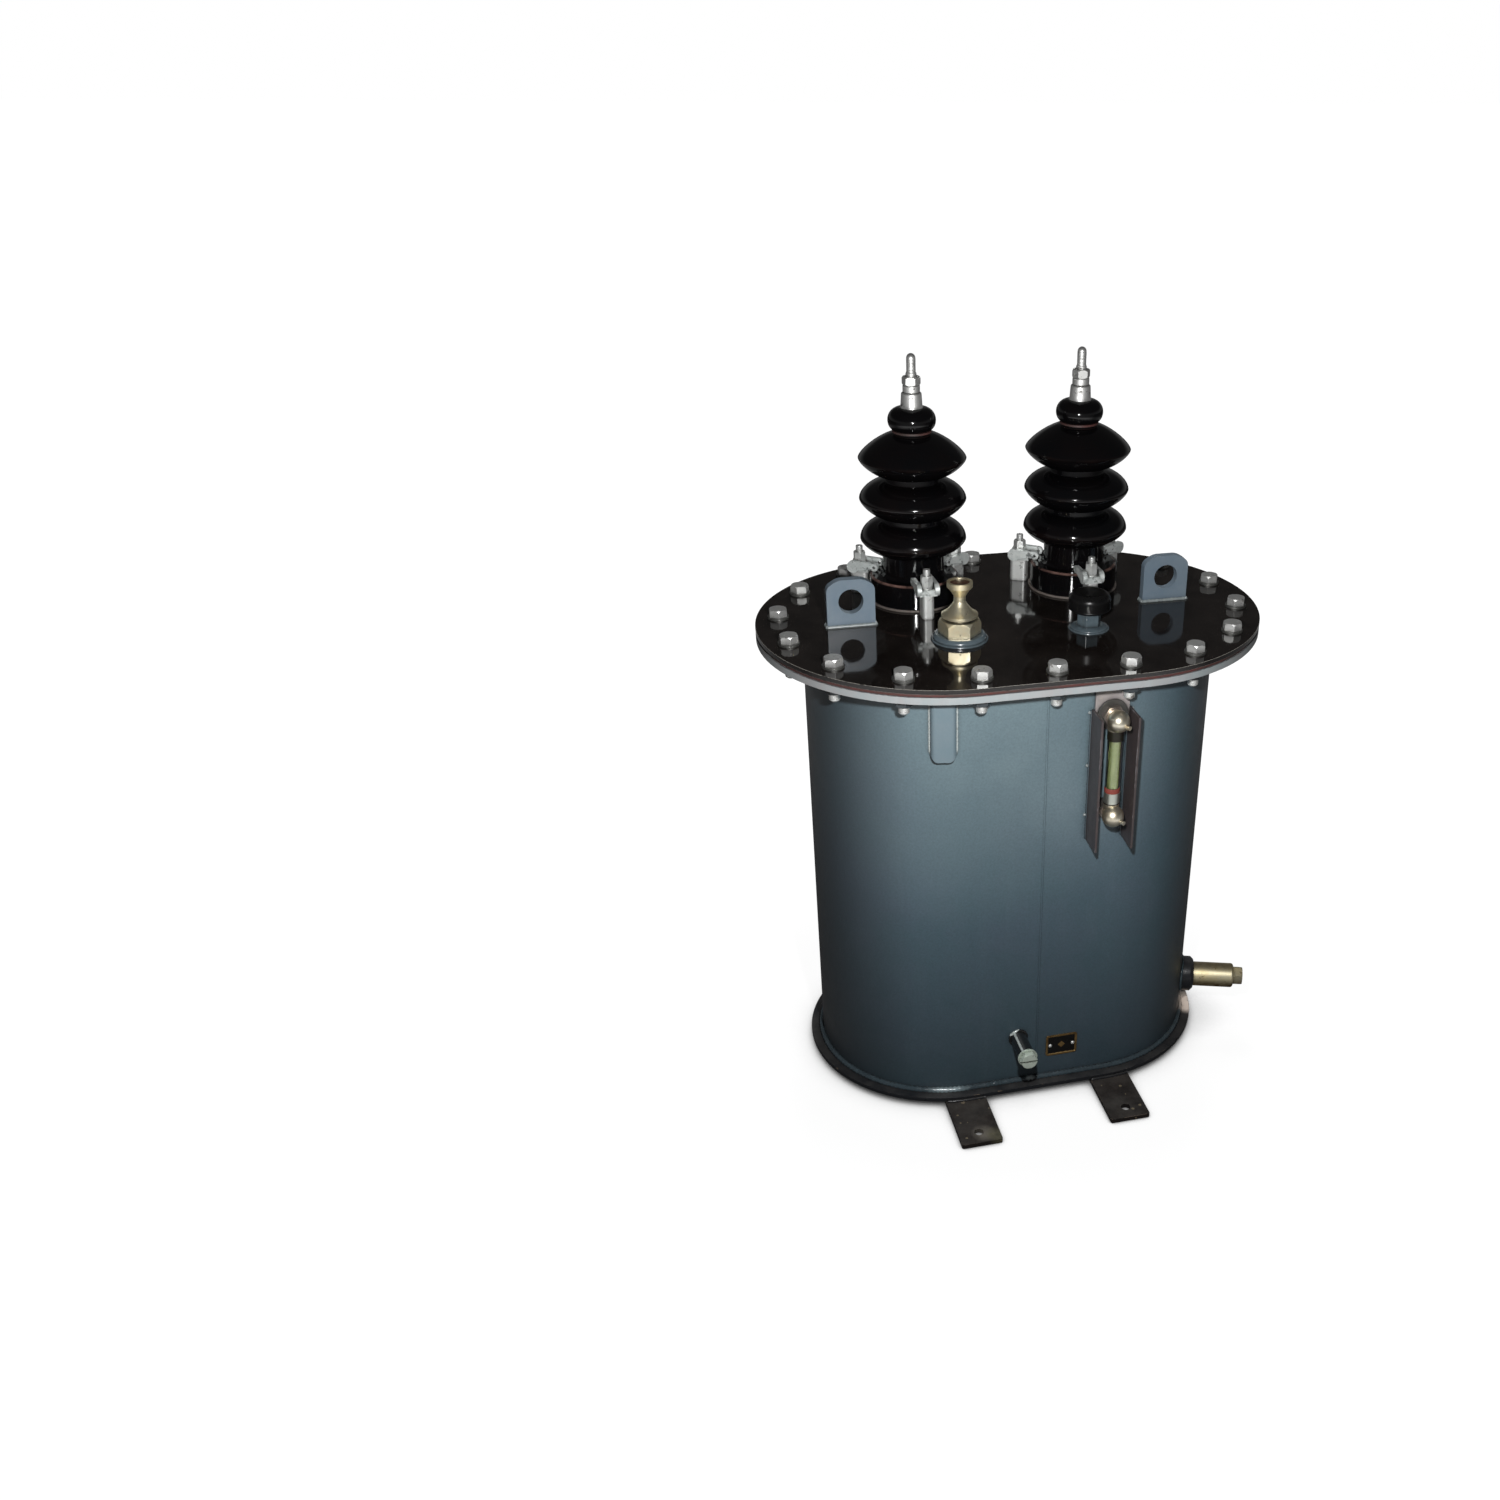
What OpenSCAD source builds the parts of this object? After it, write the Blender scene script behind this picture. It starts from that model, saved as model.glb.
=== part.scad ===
// Pole mounted transformer: an obround oil tank on two flat-bar feet, with a bolted lid that
// carries two high-voltage bushings, lifting lugs, a vent and a filler cap. On the tank wall
// are an oil gauge behind two guard fins, an earth boss, a small plate and a drain valve.
// X runs along the tank, -Y is the front, +Z is up. The origin is on the floor, midway
// between the feet.

/* [Tank] */
// Length of the tank body over its round ends
tank_len = 478; // [420:1:620]
// Width of the tank body
tank_w = 306; // [280:1:360]
// Height of the tank wall, from the base plate to the lid's gasket
tank_h = 548; // [460:1:800]
// Thickness of the tank's steel wall
tank_wall_t = 4; // [2:0.5:6]

/* [Base and feet] */
// Thickness of the base plate
base_t = 6; // [4:0.5:12]
// How far the base plate stands out past the wall
base_lip = 15.5; // [8:0.5:30]
// Width of each foot's flat bar
foot_w = 50; // [30:1:80]
// Thickness of each foot's flat bar
foot_t = 6; // [4:0.5:12]
// Length of each foot, from front to back
foot_len = 496; // [440:1:640]
// Distance between the middles of the two feet
foot_pitch = 186; // [140:1:240]
// Diameter of the fixing holes in the feet
foot_hole_d = 11; // [8:0.5:18]
// Distance from a fixing hole's middle to the end of its foot
foot_hole_inset = 19; // [12:1:26]
// Corner radius of the feet
foot_corner_r = 3; // [1:0.5:8]

/* [Lid and flange] */
// How far the flange and the lid stand out past the wall
flange_w = 51; // [40:1:70]
// Thickness of the tank's top flange
flange_t = 8; // [5:0.5:14]
// Thickness of the lid's gasket
gasket_t = 3.5; // [2:0.5:6]
// How far the gasket's edge is set back from the flange's edge
gasket_setback = 1.5; // [0.5:0.5:5]
// Thickness of the lid
lid_t = 5; // [3:0.5:10]
// Distance from the lid's edge to the middles of its bolts
bolt_inset = 25; // [14:1:30]
// Number of lid bolts
bolt_count = 18; // [12:2:24]
// Thread diameter of the lid bolts
bolt_d = 12; // [8:1:14]
// Clearance of the bolt holes over the bolts, on the diameter
bolt_play = 1.5; // [0.5:0.1:2]
// Length of bolt that shows below its nut
bolt_tail = 10; // [4:1:24]

/* [Lifting lugs] */
// Distance of each lug's middle from the tank's round end
lug_inset = 54; // [40:1:70]
// Width of a lug
lug_w = 54; // [40:1:60]
// Height of a lug
lug_h = 54; // [46:1:80]
// Thickness of a lug
lug_t = 10; // [6:1:16]
// Diameter of the hole in a lug
lug_hole_d = 28; // [16:1:30]
// Height of the hole's middle above the lid
lug_hole_z = 29; // [24:1:32]
// Size of the sloping cut at a lug's top corners
lug_chamfer = 8; // [3:1:12]

/* [Bushings] */
// Distance of each bushing from the middle of the lid, along X
bushing_x = 97; // [92:1:104]
// Distance of both bushings behind the middle of the lid
bushing_y = 72; // [60:1:76]
// Thickness of the flat gasket under a bushing
bushing_gasket_t = 2.5; // [1.5:0.5:4]
// Diameter of the porcelain's foot
bushing_foot_d = 102; // [94:1:104]
// Height of the porcelain's foot above its gasket
bushing_foot_h = 27.5; // [20:0.5:32]
// Diameter of the porcelain below its middle shed
bushing_core_d = 71; // [56:1:74]
// Diameter of the porcelain's neck under its top shed
bushing_neck_d = 64; // [50:1:74]
// Diameter of the sheds
shed_d = 121; // [104:1:126]
// Height of the lowest shed's rim above the lid
shed_z = 72; // [70:1:84]
// Distance between the rims of the sheds
shed_pitch = 45.5; // [42:0.5:52]
// Height of the upper shed's cone, from its rim to the head's gasket
shed_cone_h = 28; // [22:1:36]
// Diameter of the head's seat and gasket
head_seat_d = 44; // [38:1:48]
// Thickness of the gasket under the head
head_gasket_t = 2; // [1.5:0.5:5]
// Diameter of the bushing's head
head_d = 53.5; // [48:0.5:60]
// Height of the bushing's head
head_h = 24; // [16:1:28]
// Diameter of the porcelain's shank below the lid
shank_d = 66; // [50:1:74]
// Length of the porcelain's shank below the lid
shank_len = 60; // [30:1:120]
// Clearance around the shank in the lid's hole, on the diameter
shank_play = 4; // [2:0.5:6]

/* [Terminals] */
// Diameter of the terminal's ferrule
ferrule_d = 24; // [20:1:28]
// Height of the terminal's ferrule, with the collar on top of it
ferrule_h = 24; // [16:1:36]
// Diameter of the collar under the terminal's nut
collar_d = 19; // [17:0.5:22]
// Height of the collar under the terminal's nut
collar_h = 8; // [3:1:10]
// Diameter of the threaded root that the nut is on
root_d = 12; // [12:1:14]
// Length of the root that shows above the nut
root_show = 3; // [1:1:6]
// Diameter of the terminal's stud
stud_d = 10; // [6:1:11]
// Length of the root and the stud above the nut
stud_tail = 24; // [16:1:40]
// Length of the stud's round tip
tip_h = 5; // [3:1:5]
// Width across flats of the terminal's nut
terminal_nut_af = 18; // [17:1:20]
// Height of the terminal's nut
terminal_nut_h = 9; // [6:1:12]

/* [Clamps] */
// Number of clamps around a bushing
clamp_count = 3; // [3:1:4]
// Distance of the clamp studs from the rim of the porcelain's foot
clamp_gap = 15; // [14:0.5:18]
// Diameter of the clamp studs
clamp_stud_d = 8; // [6:0.5:9]
// Clearance around a clamp stud, on the diameter
clamp_play = 0.6; // [0.4:0.1:1.5]
// Width of the leg under each claw, along the porcelain's rim
clamp_leg_w = 13.5; // [12.5:0.5:15]
// Depth of the leg under each claw, out from the porcelain
clamp_leg_len = 20; // [16:1:22]
// Thickness of a claw over the porcelain's foot
claw_t = 4; // [3:0.5:8]
// Thickness of a claw's two arms
claw_arm_t = 5; // [3:0.5:6]
// Height of a claw's arms over its floor
claw_arm_h = 6; // [4:0.5:9]
// Clearance of the clamp's nut between the arms, over its corners
claw_play = 0.8; // [0.4:0.1:2]
// How far a claw's arms reach over the porcelain's foot
claw_reach = 11; // [6:0.5:11]
// Diameter of the small hole in the end of each arm
claw_hole_d = 3.5; // [2:0.5:5]
// Height of the clamp's deep nut
clamp_nut_h = 13; // [6:1:18]
// Length of stud above the clamp's nut
clamp_tail = 7; // [2:1:12]

/* [Vent] */
// Distance of the vent from the middle of the lid, along X
vent_x = 77; // [68:1:84]
// Distance of the vent in front of the middle of the lid
vent_y = 66; // [60:1:80]
// Diameter of the welded collar under the vent
vent_collar_d = 59; // [52:1:66]
// Height of the vent's welded collar
vent_collar_h = 7; // [4:0.5:12]
// Width across flats of the vent's hexagon
vent_hex_af = 41; // [34:1:46]
// Height of the vent's hexagon
vent_hex_h = 16; // [10:1:20]
// Diameter of the vent's waist
vent_waist_d = 13; // [10:1:18]
// Diameter of the vent's cup at its rim
vent_cup_d = 28; // [24:1:36]
// Height of the whole vent above its collar
vent_h = 58; // [50:1:70]

/* [Filler] */
// Distance of the filler from the middle of the lid, along X
filler_x = 71; // [64:1:84]
// Distance of the filler in front of the middle of the lid
filler_y = 68; // [60:1:80]
// Diameter of the welded collar under the filler
filler_collar_d = 42; // [36:1:50]
// Width across flats of the filler's neck
filler_neck_af = 24; // [20:1:28]
// Height of the filler's neck above the lid
filler_neck_h = 21; // [16:1:34]
// Diameter of the filler's cap
filler_cap_d = 47; // [38:1:52]
// Height of the filler's cap
filler_cap_h = 21; // [12:1:26]

/* [Oil gauge] */
// Distance of the gauge from the tank's middle, along X
gauge_x = 72; // [56:1:80]
// Depth of the gauge's upper axis below the lid's gasket
gauge_drop = 57; // [50:1:80]
// Distance between the gauge's upper and lower axes
gauge_span = 116; // [90:1:200]
// Distance of the glass tube's middle from the wall
gauge_stand = 17; // [16:1:22]
// Outer diameter of the glass tube
glass_d = 17; // [12:1:18]
// Thickness of the glass tube's wall
glass_t = 2; // [1:0.5:3]
// Diameter of the brass fittings' round noses
fitting_d = 25; // [20:1:26]
// How far the round noses stand in front of the glass tube
fitting_reach = 8; // [4:1:12]
// Width across flats of the fittings' hexagons, behind the glass tube
fitting_af = 22; // [18:1:24]
// Length of the gland above the glass tube
gland_h = 12; // [6:1:20]
// Length of the socket below the glass tube
socket_h = 15; // [6:1:20]
// Height of the ring at the foot of the glass tube
ring_h = 6; // [4:1:12]
// Diameter of the upper boss on the wall
gauge_boss_d = 36; // [26:1:38]
// Diameter of the lower boss on the wall
low_boss_d = 25; // [24:1:32]
// How far the bosses stand out of the wall
gauge_boss_t = 7; // [6:0.5:7]
// Clear width between the guard fins
guard_gap = 39.5; // [39:0.5:50]
// Depth of the guard fins
guard_depth = 34; // [24:1:44]
// Thickness of the guard fins
guard_t = 3; // [2:0.5:5]
// How far the guard fins run above the gauge's upper axis
guard_above = 6; // [4:1:16]
// How far the guard fins run below the gauge's lower axis
guard_below = 40; // [20:1:60]
// Thickness of the pad behind the upper boss
pad_t = 4; // [2:0.5:5]

/* [Front strap] */
// Distance of the strap from the tank's middle, along X
strap_x = 116; // [100:1:150]
// Width of the strap
strap_w = 28; // [20:1:36]
// Depth of the strap
strap_depth = 14; // [8:1:20]
// Length of the strap below the flange
strap_len = 84; // [50:1:140]
// Corner radius at the strap's lower end
strap_r = 9; // [3:1:10]
// Radius of the strap's long front edges
strap_edge_r = 6; // [2:0.5:7.5]

/* [Earth boss and plate] */
// Distance of the earth boss from the tank's middle, along X
earth_x = 24; // [10:1:60]
// Height of the earth boss above the base plate
earth_z = 66; // [50:1:120]
// Diameter of the earth boss
earth_d = 20; // [16:1:26]
// Length of the earth boss
earth_len = 40; // [20:1:50]
// Width across flats of the earth bolt's head
earth_bolt_af = 19; // [15:1:22]
// Distance of the plate's middle from the tank's middle, along X
plate_x = 32; // [26:1:60]
// Height of the plate's middle above the base plate
plate_z = 46; // [36:1:120]
// Width of the plate
plate_w = 40; // [30:1:50]
// Height of the plate
plate_h = 30; // [22:1:36]
// Thickness of the plate
plate_t = 1; // [0.5:0.5:2]
// Distance between the plate's rivets
rivet_pitch = 29; // [18:1:29]
// Diameter of the rivets' heads
rivet_d = 5; // [4:0.5:6]

/* [Drain valve] */
// Angle of the drain valve on the right end, from the tank's long axis towards the front
drain_angle = 19; // [0:1:40]
// Height of the drain valve above the base plate
drain_z = 50; // [40:1:120]
// Diameter of the welded hub under the valve
drain_hub_d = 46; // [38:1:54]
// Length of the welded hub
drain_hub_len = 16; // [10:1:24]
// Diameter of the valve's body
drain_body_d = 32; // [26:1:36]
// Length of the valve's body
drain_body_len = 53; // [30:1:70]
// Width across flats of the valve's end plug
drain_plug_af = 22; // [18:1:25]
// Length of the valve's end plug
drain_plug_len = 12; // [8:1:18]

/* [Hidden] */

// Number of sides that round surfaces are drawn with
$fn = 64;

// The tank's outline: two half circles of radius tank_r about centres at +end_x and -end_x
tank_r = tank_w / 2;
end_x = (tank_len - tank_w) / 2;
edge_r = tank_r + flange_w;
bolt_r = edge_r - bolt_inset;

// Levels, from the floor up
base_z = foot_t;
wall_z = base_z + base_t;
flange_top_z = wall_z + tank_h;
flange_z = flange_top_z - flange_t;
lid_z = flange_top_z + gasket_t;
lid_top_z = lid_z + lid_t;

// Steel colours
tank_colour = [0.27, 0.33, 0.38];
zinc_colour = [0.72, 0.74, 0.72];
brass_colour = [0.72, 0.60, 0.30];
porcelain_colour = [0.06, 0.04, 0.04];

// Hexagon bolt and nut proportions, from the thread's diameter
function hex_af(d) = 1.58 * d;
function head_height(d) = 0.7 * d;
function nut_height(d) = 0.8 * d;
function washer_d(d) = 2 * d;
function washer_t(d) = 0.2 * d;

// Point on the obround bolt line, at distance d along it from the middle of the front
bolt_quarter = end_x + bolt_r * PI / 2;
bolt_line = 4 * bolt_quarter;
function on_right(d) =
    d < end_x ? [d, -bolt_r]
    : d < end_x + bolt_r * PI ? [
        end_x + bolt_r * sin((d - end_x) / bolt_r * 180 / PI),
        -bolt_r * cos((d - end_x) / bolt_r * 180 / PI)
    ]
    : [2 * bolt_quarter - d, bolt_r];
function on_bolt_line(d) =
    d <= 2 * bolt_quarter ? on_right(d) : [-on_right(bolt_line - d)[0], on_right(bolt_line - d)[1]];
bolt_points = [for (i = [0 : bolt_count - 1]) on_bolt_line(i * bolt_line / bolt_count)];

// Depth of the wall's surface at a place x along the tank's front
function wall_y(x) = abs(x) <= end_x ? tank_r : sqrt(tank_r * tank_r - pow(abs(x) - end_x, 2));

// Obround outline of half width r
module obround(r) {
    square([2 * end_x, 2 * r], center = true);
    for (side = [-1, 1])
        translate([side * end_x, 0])
            circle(r, $fn = 128);
}

// Rectangle with round corners
module round_rect(w, h, r) {
    square([w - 2 * r, h], center = true);
    square([w, h - 2 * r], center = true);
    for (x = [-1, 1], y = [-1, 1])
        translate([x * (w / 2 - r), y * (h / 2 - r)])
            circle(r, $fn = 32);
}

// Hexagonal prism, af wide across its flats
module hex_prism(af, h) {
    cylinder(h = h, d = af / cos(30), $fn = 6);
}

// Hexagon with its corners turned off at the top, as on a nut or a bolt head
module hex_turned(af, h) {
    intersection() {
        hex_prism(af, h);
        rotate_extrude()
            polygon([
                [0, 0], [af / 2 / cos(30), 0], [af / 2 / cos(30), h * 0.72],
                [af / 2 * 1.02, h], [0, h]
            ]);
    }
}

// The same, with both ends turned
module hex_nut(af, h, bore) {
    difference() {
        intersection() {
            hex_prism(af, h);
            rotate_extrude()
                polygon([
                    [0, 0], [af / 2 * 1.02, 0], [af / 2 / cos(30), af * 0.09],
                    [af / 2 / cos(30), h - af * 0.09], [af / 2 * 1.02, h], [0, h]
                ]);
        }
        translate([0, 0, -1])
            cylinder(h = h + 2, d = bore);
    }
}

module at_bolts() {
    for (p = bolt_points)
        translate([p[0], p[1], 0])
            children();
}

module at_bushing(side) {
    translate([side * bushing_x, bushing_y, lid_top_z])
        children();
}

module at_clamps() {
    for (side = [-1, 1])
        at_bushing(side)
            for (i = [0 : clamp_count - 1])
                rotate([0, 0, i * 360 / clamp_count - 90])
                    translate([clamp_r, 0, 0])
                        children();
}

// Turns a +Z axis to point out of the front wall
module from_front(x, z) {
    translate([x, -wall_y(x), z])
        rotate([90, 0, 0])
            children();
}

// Base plate and feet

module base_plate() {
    color([0.13, 0.13, 0.14])
        translate([0, 0, base_z])
            linear_extrude(base_t)
                obround(tank_r + base_lip);
}

foot_hole_pitch = foot_len - 2 * foot_hole_inset;

module foot(side) {
    color([0.10, 0.08, 0.07])
        translate([side * foot_pitch / 2, 0, 0])
            difference() {
                linear_extrude(foot_t)
                    round_rect(foot_w, foot_len, foot_corner_r);
                for (y = [-1, 1])
                    translate([0, y * foot_hole_pitch / 2, -1])
                        cylinder(h = foot_t + 2, d = foot_hole_d);
            }
}

module foot_left() { foot(-1); }
module foot_right() { foot(1); }

// Tank wall and flange

module tank_wall() {
    color(tank_colour)
        translate([0, 0, wall_z])
            linear_extrude(tank_h)
                difference() {
                    obround(tank_r);
                    obround(tank_r - tank_wall_t);
                }
}

module bolt_holes(z, h) {
    at_bolts()
        translate([0, 0, z])
            cylinder(h = h, d = bolt_d + bolt_play, $fn = 32);
}

module tank_flange() {
    color([0.45, 0.47, 0.48])
        difference() {
            translate([0, 0, flange_z])
                linear_extrude(flange_t)
                    difference() {
                        obround(edge_r);
                        obround(tank_r);
                    }
            bolt_holes(flange_z - 1, flange_t + 2);
        }
}

module lid_gasket() {
    color([0.36, 0.16, 0.13])
        difference() {
            translate([0, 0, flange_top_z])
                linear_extrude(gasket_t)
                    difference() {
                        obround(edge_r - gasket_setback);
                        obround(tank_r - tank_wall_t);
                    }
            bolt_holes(flange_top_z - 1, gasket_t + 2);
        }
}

module lid() {
    color([0.08, 0.07, 0.07])
        difference() {
            translate([0, 0, lid_z])
                linear_extrude(lid_t)
                    obround(edge_r);
            bolt_holes(lid_z - 1, lid_t + 2);
            for (side = [-1, 1])
                translate([side * bushing_x, bushing_y, lid_z - 1])
                    cylinder(h = lid_t + 2, d = shank_d + shank_play);
        }
}

// Lid bolts: head and washer above, shank through, nut and washer below

bolt_end_z = flange_z - washer_t(bolt_d) - nut_height(bolt_d) - bolt_tail;

module lid_bolts() {
    color(zinc_colour)
        at_bolts() {
            translate([0, 0, bolt_end_z + 2])
                cylinder(h = lid_top_z - bolt_end_z - 2 + washer_t(bolt_d), d = bolt_d, $fn = 32);
            translate([0, 0, bolt_end_z])
                cylinder(h = 2, d1 = bolt_d - 4, d2 = bolt_d, $fn = 32);
            translate([0, 0, lid_top_z])
                cylinder(h = washer_t(bolt_d), d = washer_d(bolt_d), $fn = 32);
            translate([0, 0, lid_top_z + washer_t(bolt_d)])
                hex_turned(hex_af(bolt_d), head_height(bolt_d));
        }
}

module lid_nuts() {
    color(zinc_colour)
        at_bolts()
            translate([0, 0, flange_z - washer_t(bolt_d) - nut_height(bolt_d)]) {
                hex_nut(hex_af(bolt_d), nut_height(bolt_d), bolt_d + 0.1);
                translate([0, 0, nut_height(bolt_d)])
                    difference() {
                        cylinder(h = washer_t(bolt_d), d = washer_d(bolt_d), $fn = 32);
                        translate([0, 0, -1])
                            cylinder(h = washer_t(bolt_d) + 2, d = bolt_d + 0.1, $fn = 32);
                    }
            }
}

// Lifting lugs

module lug(side) {
    color([0.38, 0.46, 0.54])
        translate([side * (tank_len / 2 - lug_inset), lug_t / 2, lid_top_z])
            rotate([90, 0, 0])
                linear_extrude(lug_t)
                    difference() {
                        polygon([
                            [-lug_w / 2, 0], [lug_w / 2, 0],
                            [lug_w / 2, lug_h - lug_chamfer], [lug_w / 2 - 1.6 * lug_chamfer, lug_h],
                            [-lug_w / 2 + 1.6 * lug_chamfer, lug_h], [-lug_w / 2, lug_h - lug_chamfer]
                        ]);
                        translate([0, lug_hole_z])
                            circle(d = lug_hole_d);
                    }
}

module lug_left() { lug(-1); }
module lug_right() { lug(1); }

// Bushings

core_r = bushing_core_d / 2;
neck_r = bushing_neck_d / 2;
shed_r = shed_d / 2;
foot_top = bushing_gasket_t + bushing_foot_h;
seat_z = shed_z + 2 * shed_pitch + shed_cone_h;
rim_up = 20;
rim_down = 20;

// Curve from [r0, z0] to [r1, z1], bulging outwards: power 1 is straight, 2 is an ellipse
function bulge(r0, z0, r1, z1, power, steps) = [
    for (i = [0 : steps])
        [
            r0 + (r1 - r0) * pow(sin(90 * i / steps), 2 / power),
            z1 + (z0 - z1) * pow(cos(90 * i / steps), 2 / power)
        ]
];

function reversed(points) = [for (i = [len(points) - 1 : -1 : 0]) points[i]];

// One shed, from its top down: rises from the rim by up to top_r, and falls by down to low_r
function shed_curve(rim_z, up, down, top_r, low_r, power) = concat(
    bulge(top_r, rim_z + up, shed_r, rim_z, power, 10),
    [for (p = reversed(bulge(low_r, rim_z - down, shed_r, rim_z, 1.4, 10))) if (p[0] < shed_r) p]
);

module bushing(side) {
    color(porcelain_colour)
        at_bushing(side)
            rotate_extrude($fn = 96)
                polygon(concat(
                    [[0, seat_z], [head_seat_d / 2, seat_z]],
                    shed_curve(
                        shed_z + 2 * shed_pitch, shed_cone_h - 1, rim_down,
                        head_seat_d / 2, neck_r, 1.3
                    ),
                    shed_curve(shed_z + shed_pitch, rim_up, rim_down, neck_r, core_r, 1.7),
                    shed_curve(shed_z, rim_up, rim_down - 3, core_r, core_r, 1.9),
                    [
                        [core_r, foot_top + 3], [core_r + 3, foot_top],
                        [bushing_foot_d / 2 - 2, foot_top], [bushing_foot_d / 2, foot_top - 2],
                        [bushing_foot_d / 2, bushing_gasket_t], [shank_d / 2, bushing_gasket_t],
                        [shank_d / 2, -shank_len], [0, -shank_len]
                    ]
                ));
}

module bushing_left() { bushing(-1); }
module bushing_right() { bushing(1); }

module bushing_gaskets() {
    color([0.42, 0.36, 0.33])
        for (side = [-1, 1])
            at_bushing(side)
                difference() {
                    cylinder(h = bushing_gasket_t, d = bushing_foot_d + 4, $fn = 96);
                    translate([0, 0, -1])
                        cylinder(h = bushing_gasket_t + 2, d = shank_d + shank_play);
                }
}

module head_gaskets() {
    color([0.42, 0.18, 0.14])
        for (side = [-1, 1])
            at_bushing(side)
                translate([0, 0, seat_z])
                    cylinder(h = head_gasket_t, d = head_seat_d);
}

head_z = seat_z + head_gasket_t;
head_top = head_z + head_h;

head_rim_z = head_z + head_h * 0.45;

module head(side) {
    color(porcelain_colour)
        at_bushing(side)
            rotate_extrude()
                polygon(concat(
                    [[0, head_z]],
                    bulge(head_seat_d / 2 - 3, head_z, head_d / 2, head_rim_z, 2, 8),
                    [for (p = reversed(bulge(ferrule_d / 2 + 2, head_top, head_d / 2, head_rim_z, 2, 8)))
                        if (p[0] < head_d / 2) p],
                    [[0, head_top]]
                ));
}

module head_left() { head(-1); }
module head_right() { head(1); }

// Terminals: ferrule and collar, then the root with its nut, then the stud with a round tip

nut_z = head_top + ferrule_h;
nut_top_z = nut_z + terminal_nut_h;
collar_z = nut_z - collar_h;
stud_top = nut_top_z + stud_tail;

module terminal(side) {
    color(zinc_colour)
        at_bushing(side)
            rotate_extrude()
                polygon(concat(
                    [
                        [0, head_top], [ferrule_d / 2 + 1, head_top], [ferrule_d / 2, head_top + 3],
                        [ferrule_d / 2 - 0.8, collar_z - 1], [ferrule_d / 2 - 1.6, collar_z],
                        [collar_d / 2 - 0.8, collar_z], [collar_d / 2, collar_z + 0.8],
                        [collar_d / 2, nut_z - 0.8], [collar_d / 2 - 0.8, nut_z],
                        [root_d / 2, nut_z], [root_d / 2, nut_top_z + root_show],
                        [stud_d / 2, nut_top_z + root_show + 2]
                    ],
                    reversed(bulge(0, stud_top, stud_d / 2, stud_top - tip_h, 2, 8))
                ));
}

module terminal_left() { terminal(-1); }
module terminal_right() { terminal(1); }

module terminal_nuts() {
    color(zinc_colour)
        for (side = [-1, 1])
            at_bushing(side)
                translate([0, 0, nut_z])
                    hex_nut(terminal_nut_af, terminal_nut_h, root_d + 0.1);
}

// Clamps that hold each bushing's foot down on the lid

pillar_h = foot_top - 3;
clamp_r = bushing_foot_d / 2 + clamp_gap;
claw_floor = foot_top + claw_t;
claw_top = claw_floor + claw_arm_h;
claw_inner = -claw_reach - clamp_gap;
claw_outer = clamp_leg_len / 2;
claw_heel = 1.5 - clamp_gap;
channel_w = hex_af(clamp_stud_d) / cos(30) + claw_play;
claw_w = channel_w + 2 * claw_arm_t;

// Round ends of an arm: the ear at the leg, and the tip that stands on the porcelain's foot
ear_r = 7;
tip_r = 4.5;

module clamp_pillars() {
    color(zinc_colour)
        at_clamps()
            difference() {
                linear_extrude(pillar_h)
                    round_rect(clamp_leg_len, clamp_leg_w, 4);
                translate([0, 0, -1])
                    cylinder(h = pillar_h + 2, d = clamp_stud_d + clamp_play);
            }
}

// Extrudes a claw's side view over a width w, about the clamp's middle
module claw_side(w) {
    translate([0, w / 2, 0])
        rotate([90, 0, 0])
            linear_extrude(w)
                children();
}

// Side view of an arm
module claw_arm() {
    difference() {
        union() {
            translate([claw_outer - ear_r + 1.5, claw_top - ear_r])
                circle(ear_r, $fn = 32);
            polygon([
                [claw_outer - ear_r + 1.5, claw_top], [claw_inner + tip_r, foot_top + 2 * tip_r],
                [claw_inner + tip_r, foot_top + 1.5], [claw_heel, foot_top + 1.5],
                [claw_outer - ear_r + 1.5, pillar_h + 0.5]
            ]);
            translate([claw_inner + tip_r, foot_top + tip_r])
                circle(tip_r, $fn = 32);
        }
        translate([claw_inner + tip_r, foot_top + tip_r])
            circle(d = claw_hole_d, $fn = 32);
    }
}

module clamp_claws() {
    color([0.62, 0.64, 0.62])
        at_clamps()
            difference() {
                union() {
                    claw_side(claw_w - claw_arm_t)
                        polygon([
                            [claw_outer, pillar_h], [claw_outer, claw_floor],
                            [claw_inner + tip_r + 1, claw_floor], [claw_inner + tip_r, foot_top + 1],
                            [claw_heel, foot_top + 1], [claw_heel, pillar_h]
                        ]);
                    for (side = [-1, 1])
                        translate([0, side * (channel_w + claw_arm_t) / 2, 0])
                            claw_side(claw_arm_t)
                                claw_arm();
                }
                cylinder(h = claw_top + 1, d = clamp_stud_d + clamp_play);
            }
}

clamp_nut_z = claw_floor + washer_t(clamp_stud_d);

module clamp_studs() {
    color(zinc_colour)
        at_clamps()
            cylinder(h = clamp_nut_z + clamp_nut_h + clamp_tail, d = clamp_stud_d, $fn = 32);
}

module clamp_nuts() {
    color(zinc_colour)
        at_clamps()
            translate([0, 0, claw_floor]) {
                difference() {
                    cylinder(h = washer_t(clamp_stud_d), d = channel_w - 0.4);
                    translate([0, 0, -1])
                        cylinder(h = clamp_stud_d, d = clamp_stud_d + 0.1, $fn = 32);
                }
                translate([0, 0, washer_t(clamp_stud_d)])
                    hex_nut(hex_af(clamp_stud_d), clamp_nut_h, clamp_stud_d + 0.1);
            }
}

// Brass vent on a welded collar

module at_vent() {
    translate([-vent_x, -vent_y, lid_top_z])
        children();
}

vent_disc_d = vent_hex_af - 1;
vent_hex_top = vent_collar_h + vent_hex_h;
vent_top = vent_collar_h + vent_h;
vent_cup_h = 16;
vent_recess = 10;

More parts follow.
